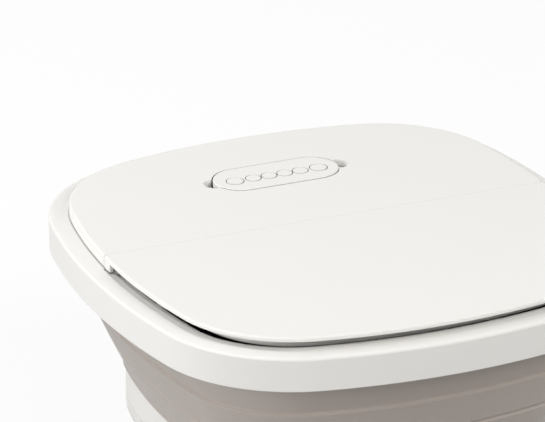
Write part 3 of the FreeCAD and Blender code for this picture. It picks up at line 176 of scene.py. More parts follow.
# buttons, each a cap, a square guide and a stem that lap over each other
BUTTON_PITCH = REMOTE_LENGTH * 0.129
BUTTON_GAP = 0.5
BUTTON_Y = REMOTE_Y - BUTTON_PITCH * 0.15
BUTTON_TOP = REMOTE_TOP + 0.2
BUTTON_ROUND = 0.5
GUIDE_TOP = CASE_INSIDE - SEAT_GAP
GUIDE_UNDER = CASE_INSIDE - 1.5
STEM_HALF = 1.5
STEM_UNDER = REMOTE_TOP - 5.55
LAP = 0.1
END_PLACE = REMOTE_LENGTH * 0.343
END_RADIUS = BUTTON_PITCH * 0.51
MIDDLE_RADIUS = BUTTON_PITCH * 0.45
# places along X and radii of the six buttons, from the left
BUTTONS = [(-END_PLACE, END_RADIUS),
           *[(BUTTON_PITCH * step, MIDDLE_RADIUS) for step in (-1.5, -0.5, 0.5, 1.5)],
           (END_PLACE, END_RADIUS)]
# feet and cover screws
FOOT_X = HALF_WIDTH - FLAT_INSET - 29.25
FOOT_Y = HALF_DEPTH - FLAT_INSET - 40.3
END_SCREW_X = 62.0
END_SCREW_Y = HALF_DEPTH - FLAT_INSET - 10.5
SIDE_SCREW_X = HALF_WIDTH - FLAT_INSET - 9.5
COVER_SCREW_SEAT = BOTTOM + 3.7
COVER_SCREW_END = BOTTOM + 22.0
COVER_HEAD_RADIUS = 2.8
SHANK_RADIUS = 1.5
SHANK_TIP_RADIUS = 0.8
SHANK_TIP = 0.5
HEAD_LAP = 0.2
# radius and height of a foot's outline, from the middle of its sole outwards and up
FOOT_PROFILE = [(4.0, 0.8), (5.0, 0.8), (5.2, 0.0), (7.4, 0.0), (7.6, 0.8), (8.8, 0.8),
                (9.0, 0.0), (11.8, 0.0), (12.6, 0.35), (13.0, 1.2), (13.0, 6.3), (12.7, 6.7)]
# screws of the clamp rings
RING_SCREWS = 16
UPPER_SCREW_INSET = 23.0
LOWER_SCREW_INSET = 68.0
RING_HEAD_RADIUS = 3.2
HEAD_HEIGHT = 2.0
# pan head and its cross recess, as shares of the head's radius and height
HEAD_PROFILE = [(1.0, 0.0), (1.0, 0.35), (0.92, 0.65), (0.75, 0.9), (0.66, 1.0)]
CROSS_ARM = 0.6
CROSS_BAR = 0.15
CROSS_TAPER = 0.7
CROSS_FLOOR = 0.35


# ---------------------------------------------------------------- outline
SIDE_MIDDLE = Vector((HALF_WIDTH - SIDE_RADIUS, 0))
REAR_MIDDLE = Vector((0, HALF_DEPTH - FRONT_RADIUS))


def corner_centre():
    """Centre of the corner arc that touches a side arc and an end arc."""
    span = SIDE_MIDDLE - REAR_MIDDLE
    end_reach = FRONT_RADIUS - CORNER_RADIUS
    side_reach = SIDE_RADIUS - CORNER_RADIUS
    along = (end_reach ** 2 - side_reach ** 2 + span.length_squared) / (2 * span.length)
    across = math.sqrt(end_reach ** 2 - along ** 2)
    ahead = span.normalized()
    return REAR_MIDDLE + ahead * along + Vector((-ahead.y, ahead.x)) * -across


CORNER = corner_centre()
SIDE_TURN = math.atan2(CORNER.y, CORNER.x - SIDE_MIDDLE.x)
END_TURN = math.atan2(CORNER.y - REAR_MIDDLE.y, CORNER.x)
# steps on half a side arc, a corner arc and half an end arc
SIDE_STEPS, CORNER_STEPS, END_STEPS = 20, 40, 40


def spread(first, last, steps):
    """Even steps from the first value up to, but without, the last."""
    return [first + (last - first) * i / steps for i in range(steps)]


def on_arc(middle, radius, turn):
    """Point of an arc, and its outward direction there."""
    ahead = Vector((math.cos(turn), math.sin(turn)))
    return middle + ahead * radius, ahead


def whole_outline(extra=()):
    """Stations of the whole outline, counter-clockwise from the right-hand side.

    The side arcs get more stations at the places along Y given in extra. Arcs 0 and 8 are the
    two halves of the right-hand side, and arc 4 is the left-hand side.
    """
    pi = math.pi
    other = Vector((-CORNER.x, CORNER.y))
    turns = (0, SIDE_TURN, END_TURN, pi - END_TURN, pi - SIDE_TURN, pi + SIDE_TURN,
             pi + END_TURN, 2 * pi - END_TURN, 2 * pi - SIDE_TURN, 2 * pi)
    middles = (SIDE_MIDDLE, CORNER, REAR_MIDDLE, other, -SIDE_MIDDLE, -CORNER, -REAR_MIDDLE,
               -other, SIDE_MIDDLE)
    radii = (SIDE_RADIUS, CORNER_RADIUS, FRONT_RADIUS, CORNER_RADIUS) * 2 + (SIDE_RADIUS,)
    half = (SIDE_STEPS, CORNER_STEPS, END_STEPS * 2, CORNER_STEPS, SIDE_STEPS)
    counts = (*half[:4], SIDE_STEPS * 2, *half[1:])
    stations = []
    for number, middle in enumerate(middles):
        found = spread(turns[number], turns[number + 1], counts[number])
        for y in extra:
            if number in (0, 8):
                turn = math.asin(y / radii[number]) + (2 * pi if number == 8 else 0)
            elif number == 4:
                turn = pi - math.asin(y / radii[number])
            else:
                continue
            if turns[number] < turn < turns[number + 1]:
                found.append(turn)
        for turn in sorted(found):
            stations.append(on_arc(middle, radii[number], turn))
    return stations


def half_outline(line, rear, inset=0.0, extra=()):
    """Points of the rear or front part at one inset, from its right end to its left.

    The part ends at the line, a place along Y. Its side arcs, the first and the last, get more
    points at the places along Y given in extra.
    """
    pi = math.pi
    sign = 1 if rear else -1
    end = Vector((0, REAR_MIDDLE.y * sign))
    corner = Vector((CORNER.x, CORNER.y * sign))
    other = Vector((-corner.x, corner.y))
    tip = math.asin(line / (SIDE_RADIUS - inset)) * sign
    runs = ((SIDE_MIDDLE, SIDE_RADIUS, tip, SIDE_TURN, SIDE_STEPS),
            (corner, CORNER_RADIUS, SIDE_TURN, END_TURN, CORNER_STEPS),
            (end, FRONT_RADIUS, END_TURN, pi - END_TURN, END_STEPS * 2),
            (other, CORNER_RADIUS, pi - END_TURN, pi - SIDE_TURN, CORNER_STEPS),
            (-SIDE_MIDDLE, SIDE_RADIUS, pi - SIDE_TURN, pi - tip, SIDE_STEPS))
    points = []
    for number, (middle, radius, first, last, count) in enumerate(runs):
        found = spread(first, last, count)
        if number in (0, 4):
            for y in extra:
                turn = math.asin(y * sign / SIDE_RADIUS)
                found.append(turn if number == 0 else pi - turn)
        for turn in sorted(found):
            place, _ = on_arc(middle, radius - inset, turn * sign)
            points.append(place)
    place, _ = on_arc(-SIDE_MIDDLE, SIDE_RADIUS - inset, (pi - tip) * sign)
    points.append(place)
    return points


# ---------------------------------------------------------------- sections
def rounded(points, radii, closed=True, steps=5):
    """Polyline with its corners rounded; one radius for each point."""
    result = []
    count = len(points)
    for number, (x, y) in enumerate(points):
        here = Vector((x, y))
        radius = radii[number]
        if radius == 0 or (not closed and number in (0, count - 1)):
            result.append((x, y))
            continue
        before = (Vector(points[number - 1]) - here).normalized()
        after = (Vector(points[(number + 1) % count]) - here).normalized()
        half = before.angle(after) / 2
        reach = radius / math.tan(half)
        middle = here + (before + after).normalized() * (radius / math.sin(half))
        first, last = here + before * reach - middle, here + after * reach - middle
        turn = first.angle_signed(last)
        for step in range(steps + 1):
            angle = math.atan2(first.y, first.x) - turn * step / steps
            result.append((middle.x + radius * math.cos(angle),
                           middle.y + radius * math.sin(angle)))
    return result


def closed_section(corners, steps=5):
    """Closed section from corners given as inset, height and rounding."""
    points = [(inset, height) for inset, height, radius in corners]
    return rounded(points, [radius for inset, height, radius in corners], True, steps)


def rounded_edge(inset, low, high, width, radius, steps=5):
    """Open section up a wall and a little way in over its top, rounded between them."""
    points = [(inset, low), (inset, high), (inset + width, high)]
    return rounded(points, [0, radius, 0], False, steps)


def pill(x, y, length, width, steps):
    """Stadium along X, counter-clockwise."""
    radius = width / 2
    reach = length / 2 - radius
    points = []
    for side, first in ((1, -0.5), (-1, 0.5)):
        for step in range(steps + 1):
            turn = math.pi * (first + step / steps)
            points.append((x + side * reach + radius * math.cos(turn),
                           y + radius * math.sin(turn)))
    return points


def circle(x, y, radius, steps=48):
    """Circle, counter-clockwise."""
    return [(x + radius * math.cos(2 * math.pi * i / steps),
             y + radius * math.sin(2 * math.pi * i / steps)) for i in range(steps)]


def box_loop(x1, y1, x2, y2, radius):
    """Rectangle with rounded corners, counter-clockwise."""
    return rounded([(x1, y1), (x2, y1), (x2, y2), (x1, y2)], [radius] * 4, True, 6)


# ---------------------------------------------------------------- meshes
class Shape:
    """Mesh put together from loops of points, in millimetres."""

    def __init__(self):
        self.bm = bmesh.new()

    def loop(self, points, height=None):
        """Vertices at the points, which have two coordinates each where a height is given."""
        if height is not None:
            points = [(x, y, height) for x, y in points]
        return [self.bm.verts.new((x * MM, y * MM, z * MM)) for x, y, z in points]

    def skin(self, first, second, closed=True):
        """Strip of faces between two loops."""
        count = len(first)
        for i in range(count if closed else count - 1):
            k = (i + 1) % count
            self.bm.faces.new((first[i], first[k], second[k], second[i]))

    def tube(self, loops, closed=True, wrap=False):
        """Strips between loops in a row, and with wrap from the last back to the first."""
        for first, second in zip(loops, loops[1:]):
            self.skin(first, second, closed)
        if wrap:
            self.skin(loops[-1], loops[0], closed)

    def cap(self, *loops):
        """Flat face inside a loop, less any loops inside it."""
        if len(loops) == 1:
            self.bm.faces.new(loops[0])
            return
        edges = []
        for verts in loops:
            for i, vert in enumerate(verts):
                following = verts[(i + 1) % len(verts)]
                edge = self.bm.edges.get((vert, following))
                edges.append(edge or self.bm.edges.new((vert, following)))
        bmesh.ops.triangle_fill(self.bm, use_beauty=True, use_dissolve=False, edges=edges)

    def stack(self, levels):
        """Loops given with their heights, joined and closed at both ends."""
        loops = [self.loop(points, height) for points, height in levels]
        self.tube(loops)
        self.cap(loops[0])
        self.cap(loops[-1])

    def turned(self, x, y, profile):
        """Solid of revolution about a vertical axis, closed at both ends."""
        self.stack([(circle(x, y, radius), height) for radius, height in profile])

    def screw(self, x, y, seat, radius, pointing):
        """Pan head with a cross recess, up or down from its seat."""
        loops = [self.loop(circle(x, y, radius * reach, 24), seat + pointing * HEAD_HEIGHT * share)
                 for reach, share in HEAD_PROFILE]
        self.tube(loops)
        self.cap(loops[0])
        arm, bar = radius * CROSS_ARM, radius * CROSS_BAR
        cross = []
        for quarter in range(4):
            turn = math.pi / 2 * quarter
            for along, across in ((bar, -bar), (arm, -bar), (arm, bar)):
                cross.append((x + along * math.cos(turn) - across * math.sin(turn),
                              y + along * math.sin(turn) + across * math.cos(turn)))
        narrow = [(x + (px - x) * CROSS_TAPER, y + (py - y) * CROSS_TAPER) for px, py in cross]
        high = self.loop(cross, seat + pointing * HEAD_HEIGHT)
        low = self.loop(narrow, seat + pointing * HEAD_HEIGHT * CROSS_FLOOR)
        self.cap(loops[-1], high)
        self.skin(high, low)
        self.cap(low)

    def build(self, name):
        """Object made of the mesh, with doubled points merged and its faces turned outwards."""
        doubled = 1e-7
        bmesh.ops.remove_doubles(self.bm, verts=self.bm.verts, dist=doubled)
        bmesh.ops.dissolve_degenerate(self.bm, edges=self.bm.edges, dist=doubled)
        bmesh.ops.recalc_face_normals(self.bm, faces=self.bm.faces)
        mesh = bpy.data.meshes.new(name)
        self.bm.to_mesh(mesh)
        self.bm.free()
        obj = bpy.data.objects.new(name, mesh)
        bpy.context.scene.collection.objects.link(obj)
        return obj


def swept(section, stations):
    """Closed section, or one worked out for each place, carried round closed stations."""
    shape = Shape()
    loops = []
    for place, ahead in stations:
        points = section(place) if callable(section) else section
        loops.append(shape.loop([(*(place - ahead * inset), height) for inset, height in points]))
    shape.tube(loops, True, True)
    return shape


def solid(name, points, low, high):
    """Upright solid with the given outline."""
    shape = Shape()
    shape.stack([(points, low), (points, high)])
    return shape.build(name)


def settle(obj):
    """Applies the modifiers to the mesh."""
    graph = bpy.context.evaluated_depsgraph_get()
    graph.update()
    mesh = bpy.data.meshes.new_from_object(obj.evaluated_get(graph))
    obj.modifiers.clear()
    obj.data = mesh


def combine(obj, tool, operation):
    """Joins a tool object to the mesh or cuts it away, and removes the tool."""
    modifier = obj.modifiers.new("Combine", "BOOLEAN")
    modifier.object = tool
    modifier.operation = operation
    modifier.solver = "EXACT"
    settle(obj)
    bpy.data.objects.remove(tool)


def ease_edges(obj, width, angle):
    """Bevel modifier on edges sharper than the angle."""
    modifier = obj.modifiers.new("Ease", "BEVEL")
    modifier.width = width * MM
    modifier.segments = 2
    modifier.limit_method = "ANGLE"
    modifier.angle_limit = math.radians(angle)
    modifier.harden_normals = False


def shade_smooth(obj, keep_sharp):
    """Smooth shading with normals that follow the larger faces."""
    obj.data.shade_smooth()
    modifier = obj.modifiers.new("Weighted", "WEIGHTED_NORMAL")
    modifier.keep_sharp = keep_sharp


SHARP_ANGLE = math.radians(32)


def piece(obj, body, material, nodes=()):
    """Gives a mesh its finish and the body it moves with."""
    obj.data.materials.clear()
    obj.data.materials.append(material)
    shade_smooth(obj, True)
    obj.data.set_sharp_from_angle(angle=SHARP_ANGLE)
    if body:
        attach(obj, body)
    if nodes:
        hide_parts(*nodes)
    return obj


# ---------------------------------------------------------------- materials
CLOUD_SCALE, CLOUD_DETAIL, GRAIN_DETAIL = 14, 3, 2
ROUGHNESS_SPREAD = 0.04
RELIEF_DEPTH = 0.2 * MM
# samples of the ambient occlusion that paints shade into gaps
PAINTED_SHADE_SAMPLES = 8


def add_node(tree, kind, **inputs):
    """New shader node with some inputs set, an underscore standing for a space."""
    node = tree.nodes.new("ShaderNode" + kind)
    for name, value in inputs.items():
        node.inputs[name.replace("_", " ")].default_value = value
    return node


def darkened_crevices(tree, colour, width):
    """The colour with painted shade: darker by ambient occlusion in gaps up to the width."""
    occlusion = add_node(tree, "AmbientOcclusion", Distance=width * MM)
    occlusion.samples = PAINTED_SHADE_SAMPLES
    shadow = add_node(tree, "MixRGB", Fac=1.0)
    shadow.blend_type = "MULTIPLY"
    tree.links.new(colour, shadow.inputs["Color1"])
    tree.links.new(occlusion.outputs["AO"], shadow.inputs["Color2"])
    return shadow.outputs["Color"]


def material_of(name, colour, roughness, grain, bump, variation, metallic=0.0, sheen=0.0,
                specular=0.5, painted_shade_width=0.0, stretch=(1, 1, 1)):
    """Procedural finish: base colour varied by noise, with a fine grain as bump.

    Gaps up to the given width, in millimetres, get painted shade: ambient occlusion darkens their
    base colour.
    """
    material = bpy.data.materials.new(name)
    material.use_nodes = True
    tree = material.node_tree
    links = tree.links
    shader = tree.nodes["Principled BSDF"]
    shader.inputs["Metallic"].default_value = metallic
    shader.inputs["Sheen Weight"].default_value = sheen
    shader.inputs["Specular IOR Level"].default_value = specular
    place = add_node(tree, "TexCoord")
    scale = add_node(tree, "Mapping", Scale=stretch)
    links.new(place.outputs["Object"], scale.inputs["Vector"])
    cloud = add_node(tree, "TexNoise", Scale=CLOUD_SCALE, Detail=CLOUD_DETAIL)
    links.new(scale.outputs["Vector"], cloud.inputs["Vector"])
    darker = [part * (1 - variation) for part in colour]
    lighter = [min(part * (1 + variation), 1) for part in colour]
    ramp = add_node(tree, "MixRGB", Color1=(*darker, 1), Color2=(*lighter, 1))
    links.new(cloud.outputs["Fac"], ramp.inputs["Fac"])
    base = ramp.outputs["Color"]
    # painted shade: the base colour darkened by ambient occlusion in gaps and crevices
    if painted_shade_width:
        base = darkened_crevices(tree, base, painted_shade_width)
    links.new(base, shader.inputs["Base Color"])
    fine = add_node(tree, "TexNoise", Scale=grain, Detail=GRAIN_DETAIL)
    links.new(scale.outputs["Vector"], fine.inputs["Vector"])
    rough = add_node(tree, "MapRange", To_Min=roughness - ROUGHNESS_SPREAD,
                     To_Max=roughness + ROUGHNESS_SPREAD)
    links.new(fine.outputs["Fac"], rough.inputs["Value"])
    links.new(rough.outputs["Result"], shader.inputs["Roughness"])
    relief = add_node(tree, "Bump", Strength=bump, Distance=RELIEF_DEPTH)
    links.new(fine.outputs["Fac"], relief.inputs["Height"])
    links.new(relief.outputs["Normal"], shader.inputs["Normal"])
    return material


# the white plastic gets painted shade in gaps up to 1.8 mm
WHITE = material_of("white_abs", (0.84, 0.832, 0.81), roughness=0.55, grain=900, bump=0.05,
                    variation=0.006, specular=0.2, painted_shade_width=1.8)
INNER = material_of("inner_white_plastic", (0.74, 0.73, 0.71), roughness=0.5, grain=700,
                    bump=0.12, variation=0.015)
TAUPE = material_of("taupe_elastomer", (0.455, 0.402, 0.365), roughness=0.5, grain=1200,
                    bump=0.12, variation=0.02, sheen=0.42)
RUBBER = material_of("grey_rubber", (0.09, 0.086, 0.083), roughness=0.7, grain=900,
                     bump=0.25, variation=0.05)
GREY = material_of("warm_grey_plastic", (0.40, 0.37, 0.35), roughness=0.45, grain=700,
                   bump=0.12, variation=0.02)
STEEL = material_of("brushed_steel", (0.62, 0.62, 0.63), roughness=0.3, grain=300, bump=0.15,
                    variation=0.03, metallic=1.0, stretch=(0.05, 1, 1))
BOARD = material_of("solder_mask", (0.02, 0.11, 0.05), roughness=0.3, grain=500, bump=0.1,
                    variation=0.1)
FINISHES = {"shell_white": WHITE, "inner_white": INNER, "taupe_rubber": TAUPE,
            "grey_rubber": RUBBER, "grey_plastic": GREY, "steel": STEEL,
            "circuit_board": BOARD}


# ---------------------------------------------------------------- rim
def rim_section(place):
    """Section of the rim at one place on the outline.

    In front the lip is cut down to a ledge, and the finger groove has its floor between the
    rim's top and that ledge. The floor narrows slantwise from the groove's end to its tip.
    """
    grooved = place.y < GROOVE_TIP - NEAR
    lipped = place.y > GROOVE_END + NEAR
    share = min(1.0, max(0.0, (GROOVE_TIP - place.y) / (GROOVE_TIP - GROOVE_END)))
    floor, ease = (GROOVE_FLOOR, GROOVE_ROUND) if grooved else (RIM_TOP - 2 * HAIR, HAIR / 2)
    outer = GROOVE_OUTER + GROOVE_SLOPE
    least = outer + TIP_WIDTH
    full = STEP_SIDE + (STEP_FRONT - STEP_SIDE) * (place.y / HALF_DEPTH) ** 2
    inner = least + (full - least) * share
    if lipped:
        seat, lip_start, lip_top, lip_round = RIM_TOP - HAIR, GROOVE_INNER, LIP_TOP, 0.5
    else:
        seat, lip_start = LEDGE_FLOOR, max(GROOVE_INNER, inner + GROOVE_SLOPE + LEDGE_WIDTH)
        lip_top, lip_round = LEDGE_FLOOR - HAIR, HAIR / 2
    return closed_section([
        (SKIRT_DRAFT, SKIRT_BOTTOM, 1.2), (0.0, RIM_TOP, 2.4),
        (GROOVE_OUTER - GROOVE_SLOPE, RIM_TOP, ease), (outer, floor, ease), (inner, floor, 0.0),
        (inner + GROOVE_SLOPE, seat, 0.0), (lip_start, seat, 0.0),
        (lip_start + LIP_DRAFT, lip_top, lip_round), (RIM_INNER, lip_top, 0.5),
        (RIM_INNER, RIM_SEAT, 0.4), (GROOVE_INNER, RIM_SEAT, 0.4), (GROOVE_INNER, RIM_DECK, 0.6),
        (RIM_WALL, RIM_DECK, 1.5), (RIM_WALL + SKIRT_DRAFT, SKIRT_BOTTOM, 0.8)])


def rim_tabs():
    """Tabs inside the rim that carry the flap's rib where the lip is cut away."""
    shape = Shape()
    start, end = RIM_INNER + TAB_MARGIN, RIB_INSET + RIB_WIDTH + TAB_MARGIN
    top = RIB_UNDER - SEAT_GAP
    for side in (-1, 1):
        x, y = side * HALF_WIDTH / 4, -HALF_DEPTH / 4
        x1, x2 = sorted((side * (HALF_WIDTH - start), side * (HALF_WIDTH - end)))
        y1, y2 = start - HALF_DEPTH, end - HALF_DEPTH
        for block in (box_loop(x - TAB_HALF, y1, x + TAB_HALF, y2, TAB_ROUND),
                      box_loop(x1, y - TAB_HALF, x2, y + TAB_HALF, TAB_ROUND)):
            shape.stack([(block, top - TAB_THICKNESS), (block, top)])
    return shape.build("rim_tabs")


def ring_screws(name, body, inset, height, pointing):
    """Pan-head screws evenly along a clamp ring, heads up or down."""
    shape = Shape()
    stations = whole_outline()
    pitch = len(stations) // RING_SCREWS
    for place, ahead in stations[pitch // 2::pitch]:
        spot = place - ahead * inset
        shape.screw(spot.x, spot.y, height, RING_HEAD_RADIUS, pointing)
    piece(shape.build(name), body, STEEL)


groove_stations = [place + step for place in (GROOVE_END, GROOVE_TIP)
                   for step in (-STATION_STEP, 0, STATION_STEP)]
rim = swept(rim_section, whole_outline(groove_stations)).build("rim")
piece(rim, "rim", WHITE, ["rim_frame"])
piece(rim_tabs(), "rim", WHITE)
ring_screws("upper_ring_screws", "rim", UPPER_SCREW_INSET, UPPER_RING, -1)

# ---------------------------------------------------------------- bellows
# the outer side from the top flange down to the foot, then the inner side back up
bellows_section = closed_section([
    (BELLOWS_TOP_INSET, BELLOWS_TOP, 0.4), (BELLOWS_TOP_INSET, FLANGE_UNDER, 1.0),
    (BELLOWS_TOP_INSET + 1.0, SKIRT_BOTTOM, 6.0), (RIDGE_INSET + 1.6, RIDGE_Z + 1.2, 1.8),
    (RIDGE_INSET - 1.0, RIDGE_Z - 1.0, 1.4), (RIDGE_INSET + 1.2, RIDGE_Z - 5.0, 4.0),
    (FOLD_INSET - 1.6, FOLD_Z + 2.6, 1.8), (FOLD_INSET + 2.0, FOLD_Z, 1.0),
    (FOLD_INSET + 0.8, FOLD_Z - 2.6, 1.8), (FOOT_INSET, BAND_TOP + 4.0, 2.0),
    (FOOT_INSET, BELLOWS_FOOT, 0.5), (FLANGE_INSET, BELLOWS_FOOT, 0.4),
    (FLANGE_INSET, FLANGE_TOP, 0.8), (FOOT_INSET + BELLOWS_WALL, FLANGE_TOP, 1.5),
    (FOLD_INSET + 5.2, FOLD_Z, 3.0), (RIDGE_INSET + 4.6, RIDGE_Z + 3.4, 4.0),
    (BELLOWS_TOP_INSET + 4.0, SKIRT_BOTTOM, 8.0),
    (BELLOWS_TOP_INSET + BELLOWS_WALL, FLANGE_UNDER, 0.8), (RIM_INNER, FLANGE_UNDER, 0.8),
    (RIM_INNER, BELLOWS_TOP, 0.4)], 6)
bellows = swept(bellows_section, whole_outline()).build("bellows")
piece(bellows, "base", TAUPE, ["bellows_wall"])
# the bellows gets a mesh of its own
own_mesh(bellows)
ring_screws("lower_ring_screws", "base", LOWER_SCREW_INSET, LOWER_RING_TOP, 1)


# ---------------------------------------------------------------- feet and cover screws
def feet():
    """Four round feet with two rings that stand on the floor."""
    shape = Shape()
    for x in (-FOOT_X, FOOT_X):
        for y in (-FOOT_Y, FOOT_Y):
            shape.turned(x, y, FOOT_PROFILE)
    return shape.build("feet")


def cover_screws():
    """Screws with their heads down in the bottom cover."""
    shape = Shape()
    places = [(x, y) for x in (-END_SCREW_X, END_SCREW_X) for y in (-END_SCREW_Y, END_SCREW_Y)]
    for x, y in places + [(-SIDE_SCREW_X, 0), (SIDE_SCREW_X, 0)]:
        shape.screw(x, y, COVER_SCREW_SEAT, COVER_HEAD_RADIUS, -1)
        shank, tip = circle(x, y, SHANK_RADIUS, 16), circle(x, y, SHANK_TIP_RADIUS, 16)
        shape.stack([(shank, COVER_SCREW_SEAT - HEAD_LAP), (shank, COVER_SCREW_END - SHANK_TIP),
                     (tip, COVER_SCREW_END)])
    return shape.build("screws_of_cover")


piece(feet(), "base", RUBBER, ["rubber_feet"])
piece(cover_screws(), "base", STEEL, ["cover_screws"])


# ---------------------------------------------------------------- lid
def lid_half(name, rear):
    """Plate with a rounded edge and a skirt, straight at the hinge.

    Over the finger groove the flap has no skirt, so a hand can reach under its edge.
    """
    line = HINGE_Y + (HINGE_GAP / 2 if rear else -HINGE_GAP / 2)
    extra = () if rear else (GROOVE_END, GROOVE_END + STATION_STEP)
    outline = half_outline(line, rear, 0.0, extra)
    shape = Shape()
    rows = []
    for step, drop in ((LID_SKIRT, 0.0), (LID_SKIRT, SKIRT_REACH - SKIRT_EASE),
                       (LID_SKIRT - SKIRT_EASE, SKIRT_REACH), (SKIRT_EASE, SKIRT_REACH),
                       (0.0, SKIRT_REACH - SKIRT_EASE)):
        bare = LID_UNDER if step else LID_UNDER + UNDER_EASE
        row = []
        for point, place in zip(half_outline(line, rear, LID_INSET + step, extra), outline):
            skirted = rear or place.y > GROOVE_END + NEAR
            row.append((*point, LID_UNDER - drop if skirted else bare))
        rows.append(shape.loop(row))
    for inset, height in rounded_edge(LID_INSET, LID_TOP - LID_ROUND, LID_TOP, LID_SKIRT,
                                      LID_ROUND, 8):
        rows.append(shape.loop(half_outline(line, rear, inset, extra), height))
    shape.tube(rows, False)
    shape.cap(rows[-1])
    shape.cap(rows[0])
    right = [row[0] for row in rows]
    left = [row[-1] for row in rows]
    shape.cap(right + left[::-1])
    return shape.build(name)


def lid_ribs(name, rear):
    """Locating rib along the basin's mouth, with stiffeners under the flap."""
    line = HINGE_Y + (RIB_HEIGHT if rear else -RIB_HEIGHT)
    top = LID_UNDER + SUNK
    outer, inner = RIB_INSET, RIB_INSET + RIB_WIDTH
    shape = Shape()
    profile = rounded([(outer, top), (outer, RIB_UNDER), (inner, RIB_UNDER), (inner, top)],
                      [0, RIB_ROUND, RIB_ROUND, 0], False, 4)
    rows = [shape.loop(half_outline(line, rear, inset), height) for inset, height in profile]
    shape.tube(rows, False, True)
    shape.cap([row[0] for row in rows])
    shape.cap([row[-1] for row in rows])
    if not rear:
        half, front = RIB_WIDTH / 2, CORNER_RADIUS - HALF_DEPTH
        for x in (-HALF_WIDTH / 2, 0, HALF_WIDTH / 2):
            narrow = box_loop(x - half + 0.3, front, x + half - 0.3, line, 0.3)
            wide = box_loop(x - half, front, x + half, line, 0.4)
            shape.stack([(narrow, RIB_UNDER), (wide, RIB_UNDER + 0.5), (wide, top)])
    return shape.build(name)


def remote_pill(grow):
    """Outline of the remote, grown all round."""
    return pill(0, REMOTE_Y, REMOTE_LENGTH + 2 * grow, REMOTE_WIDTH + 2 * grow, 36)


def notch_pill(grow):
    """Outline of both finger notches in one, grown all round."""
    return pill(0, REMOTE_Y, NOTCH_LENGTH + 2 * grow, NOTCH_WIDTH + 2 * grow, 20)


def rear_lid():
    """Rear half with the recess of the remote and a finger notch at each of its ends."""
    obj = lid_half("rear_lid", True)
    for name, outline, low, high, operation in (
            ("tray", remote_pill(REMOTE_GAP + TRAY_WALL), TRAY_FLOOR - TRAY_WALL,
             LID_UNDER + OVERLAP, "UNION"),
            ("notch_tray", notch_pill(TRAY_WALL), NOTCH_FLOOR - TRAY_WALL,
             LID_UNDER + OVERLAP + 0.1, "UNION"),
            ("notch", notch_pill(0), NOTCH_FLOOR, LID_TOP + CLEAR, "DIFFERENCE"),
            ("recess", remote_pill(REMOTE_GAP), TRAY_FLOOR, LID_TOP + CLEAR, "DIFFERENCE")):
        combine(obj, solid(name, outline, low, high), operation)
    ease_edges(obj, width=0.35, angle=60)
    settle(obj)
    return obj


def front_flap():
    """Front half, lifted at the finger groove."""
    obj = lid_half("front_flap", False)
    ease_edges(obj, width=0.3, angle=60)
    settle(obj)
    return obj


def living_hinge():
    """Thin strip between the halves, a little lower than the lid's top."""
    front, rear = HINGE_Y - HINGE_GAP / 2, HINGE_Y + HINGE_GAP / 2
    strip = [(-HINGE_REACH + 2 * HINGE_REACH * i / HINGE_PARTS, front)
             for i in range(HINGE_PARTS + 1)]
    strip += [(-x, rear) for x, y in strip]
    return solid("living_hinge", strip, HINGE_UNDER, HINGE_TOP)


piece(rear_lid(), "lid", WHITE, ["lid_rear_half"])
piece(lid_ribs("rear_lid_rib", True), "lid", WHITE)
piece(front_flap(), "flap", WHITE, ["lid_front_flap"])
piece(lid_ribs("flap_ribs", False), "flap", WHITE)
web = piece(living_hinge(), None, WHITE, ["lid_hinge_web"])
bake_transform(web)


# ---------------------------------------------------------------- remote
def remote_case_top():
    """Top shell: its wall and rounded edge, and the lined hole of each button."""
    shape = Shape()
    edge = rounded_edge(0.0, CASE_SPLIT, REMOTE_TOP, 3.0, CASE_ROUND)
    wall = [(CASE_WALL, CASE_INSIDE), (CASE_WALL, CASE_SPLIT + CASE_EASE),
            (CASE_WALL - CASE_EASE, CASE_SPLIT), (CASE_EASE, CASE_SPLIT),
            (0.0, CASE_SPLIT + CASE_EASE), *edge[1:-1]]
    loops = [shape.loop(remote_pill(-inset), height) for inset, height in wall]
    shape.tube(loops)
    lining = ((0.25, REMOTE_TOP), (0.08, REMOTE_TOP - 0.08), (0.0, REMOTE_TOP - 0.3),
              (0.0, CASE_INSIDE))
    holes_low, holes_high = [], []
    for x, radius in BUTTONS:
        rings = [shape.loop(circle(x, BUTTON_Y, radius + BUTTON_GAP + wider), height)
                 for wider, height in lining]
        shape.tube(rings)
        holes_high.append(rings[0])
        holes_low.append(rings[-1])
    shape.cap(loops[-1], *holes_high)
    shape.cap(loops[0], *holes_low)
    return shape.build("remote_case_top")


def square(x, half, radius):
    """Rounded square round a button's middle."""
    return box_loop(x - half, BUTTON_Y - half, x + half, BUTTON_Y + half, radius)


def button_cap(name, x, radius):
    """Cap with a rounded edge, a square guide under the case and a stem."""
    shape = Shape()
    guide = square(x, radius + BUTTON_GAP + LAP, 0.6)
    shape.stack([(guide, GUIDE_UNDER), (guide, GUIDE_TOP)])
    edge = rounded_edge(0.0, GUIDE_TOP - LAP, BUTTON_TOP, 2.0, BUTTON_ROUND)
    shape.stack([(circle(x, BUTTON_Y, radius - inset), height) for inset, height in edge[:-1]])
    stem = square(x, STEM_HALF, 0.3)
    shape.stack([(stem, STEM_UNDER), (stem, GUIDE_UNDER + LAP)])
    return shape.build(name + "_cap")


piece(remote_case_top(), "remote", WHITE, ["remote_top_shell"])
for number, (x, radius) in enumerate(BUTTONS, start=1):
    name = "button_" + str(number)
    piece(button_cap(name, x, radius), name, WHITE, ["remote_" + name])


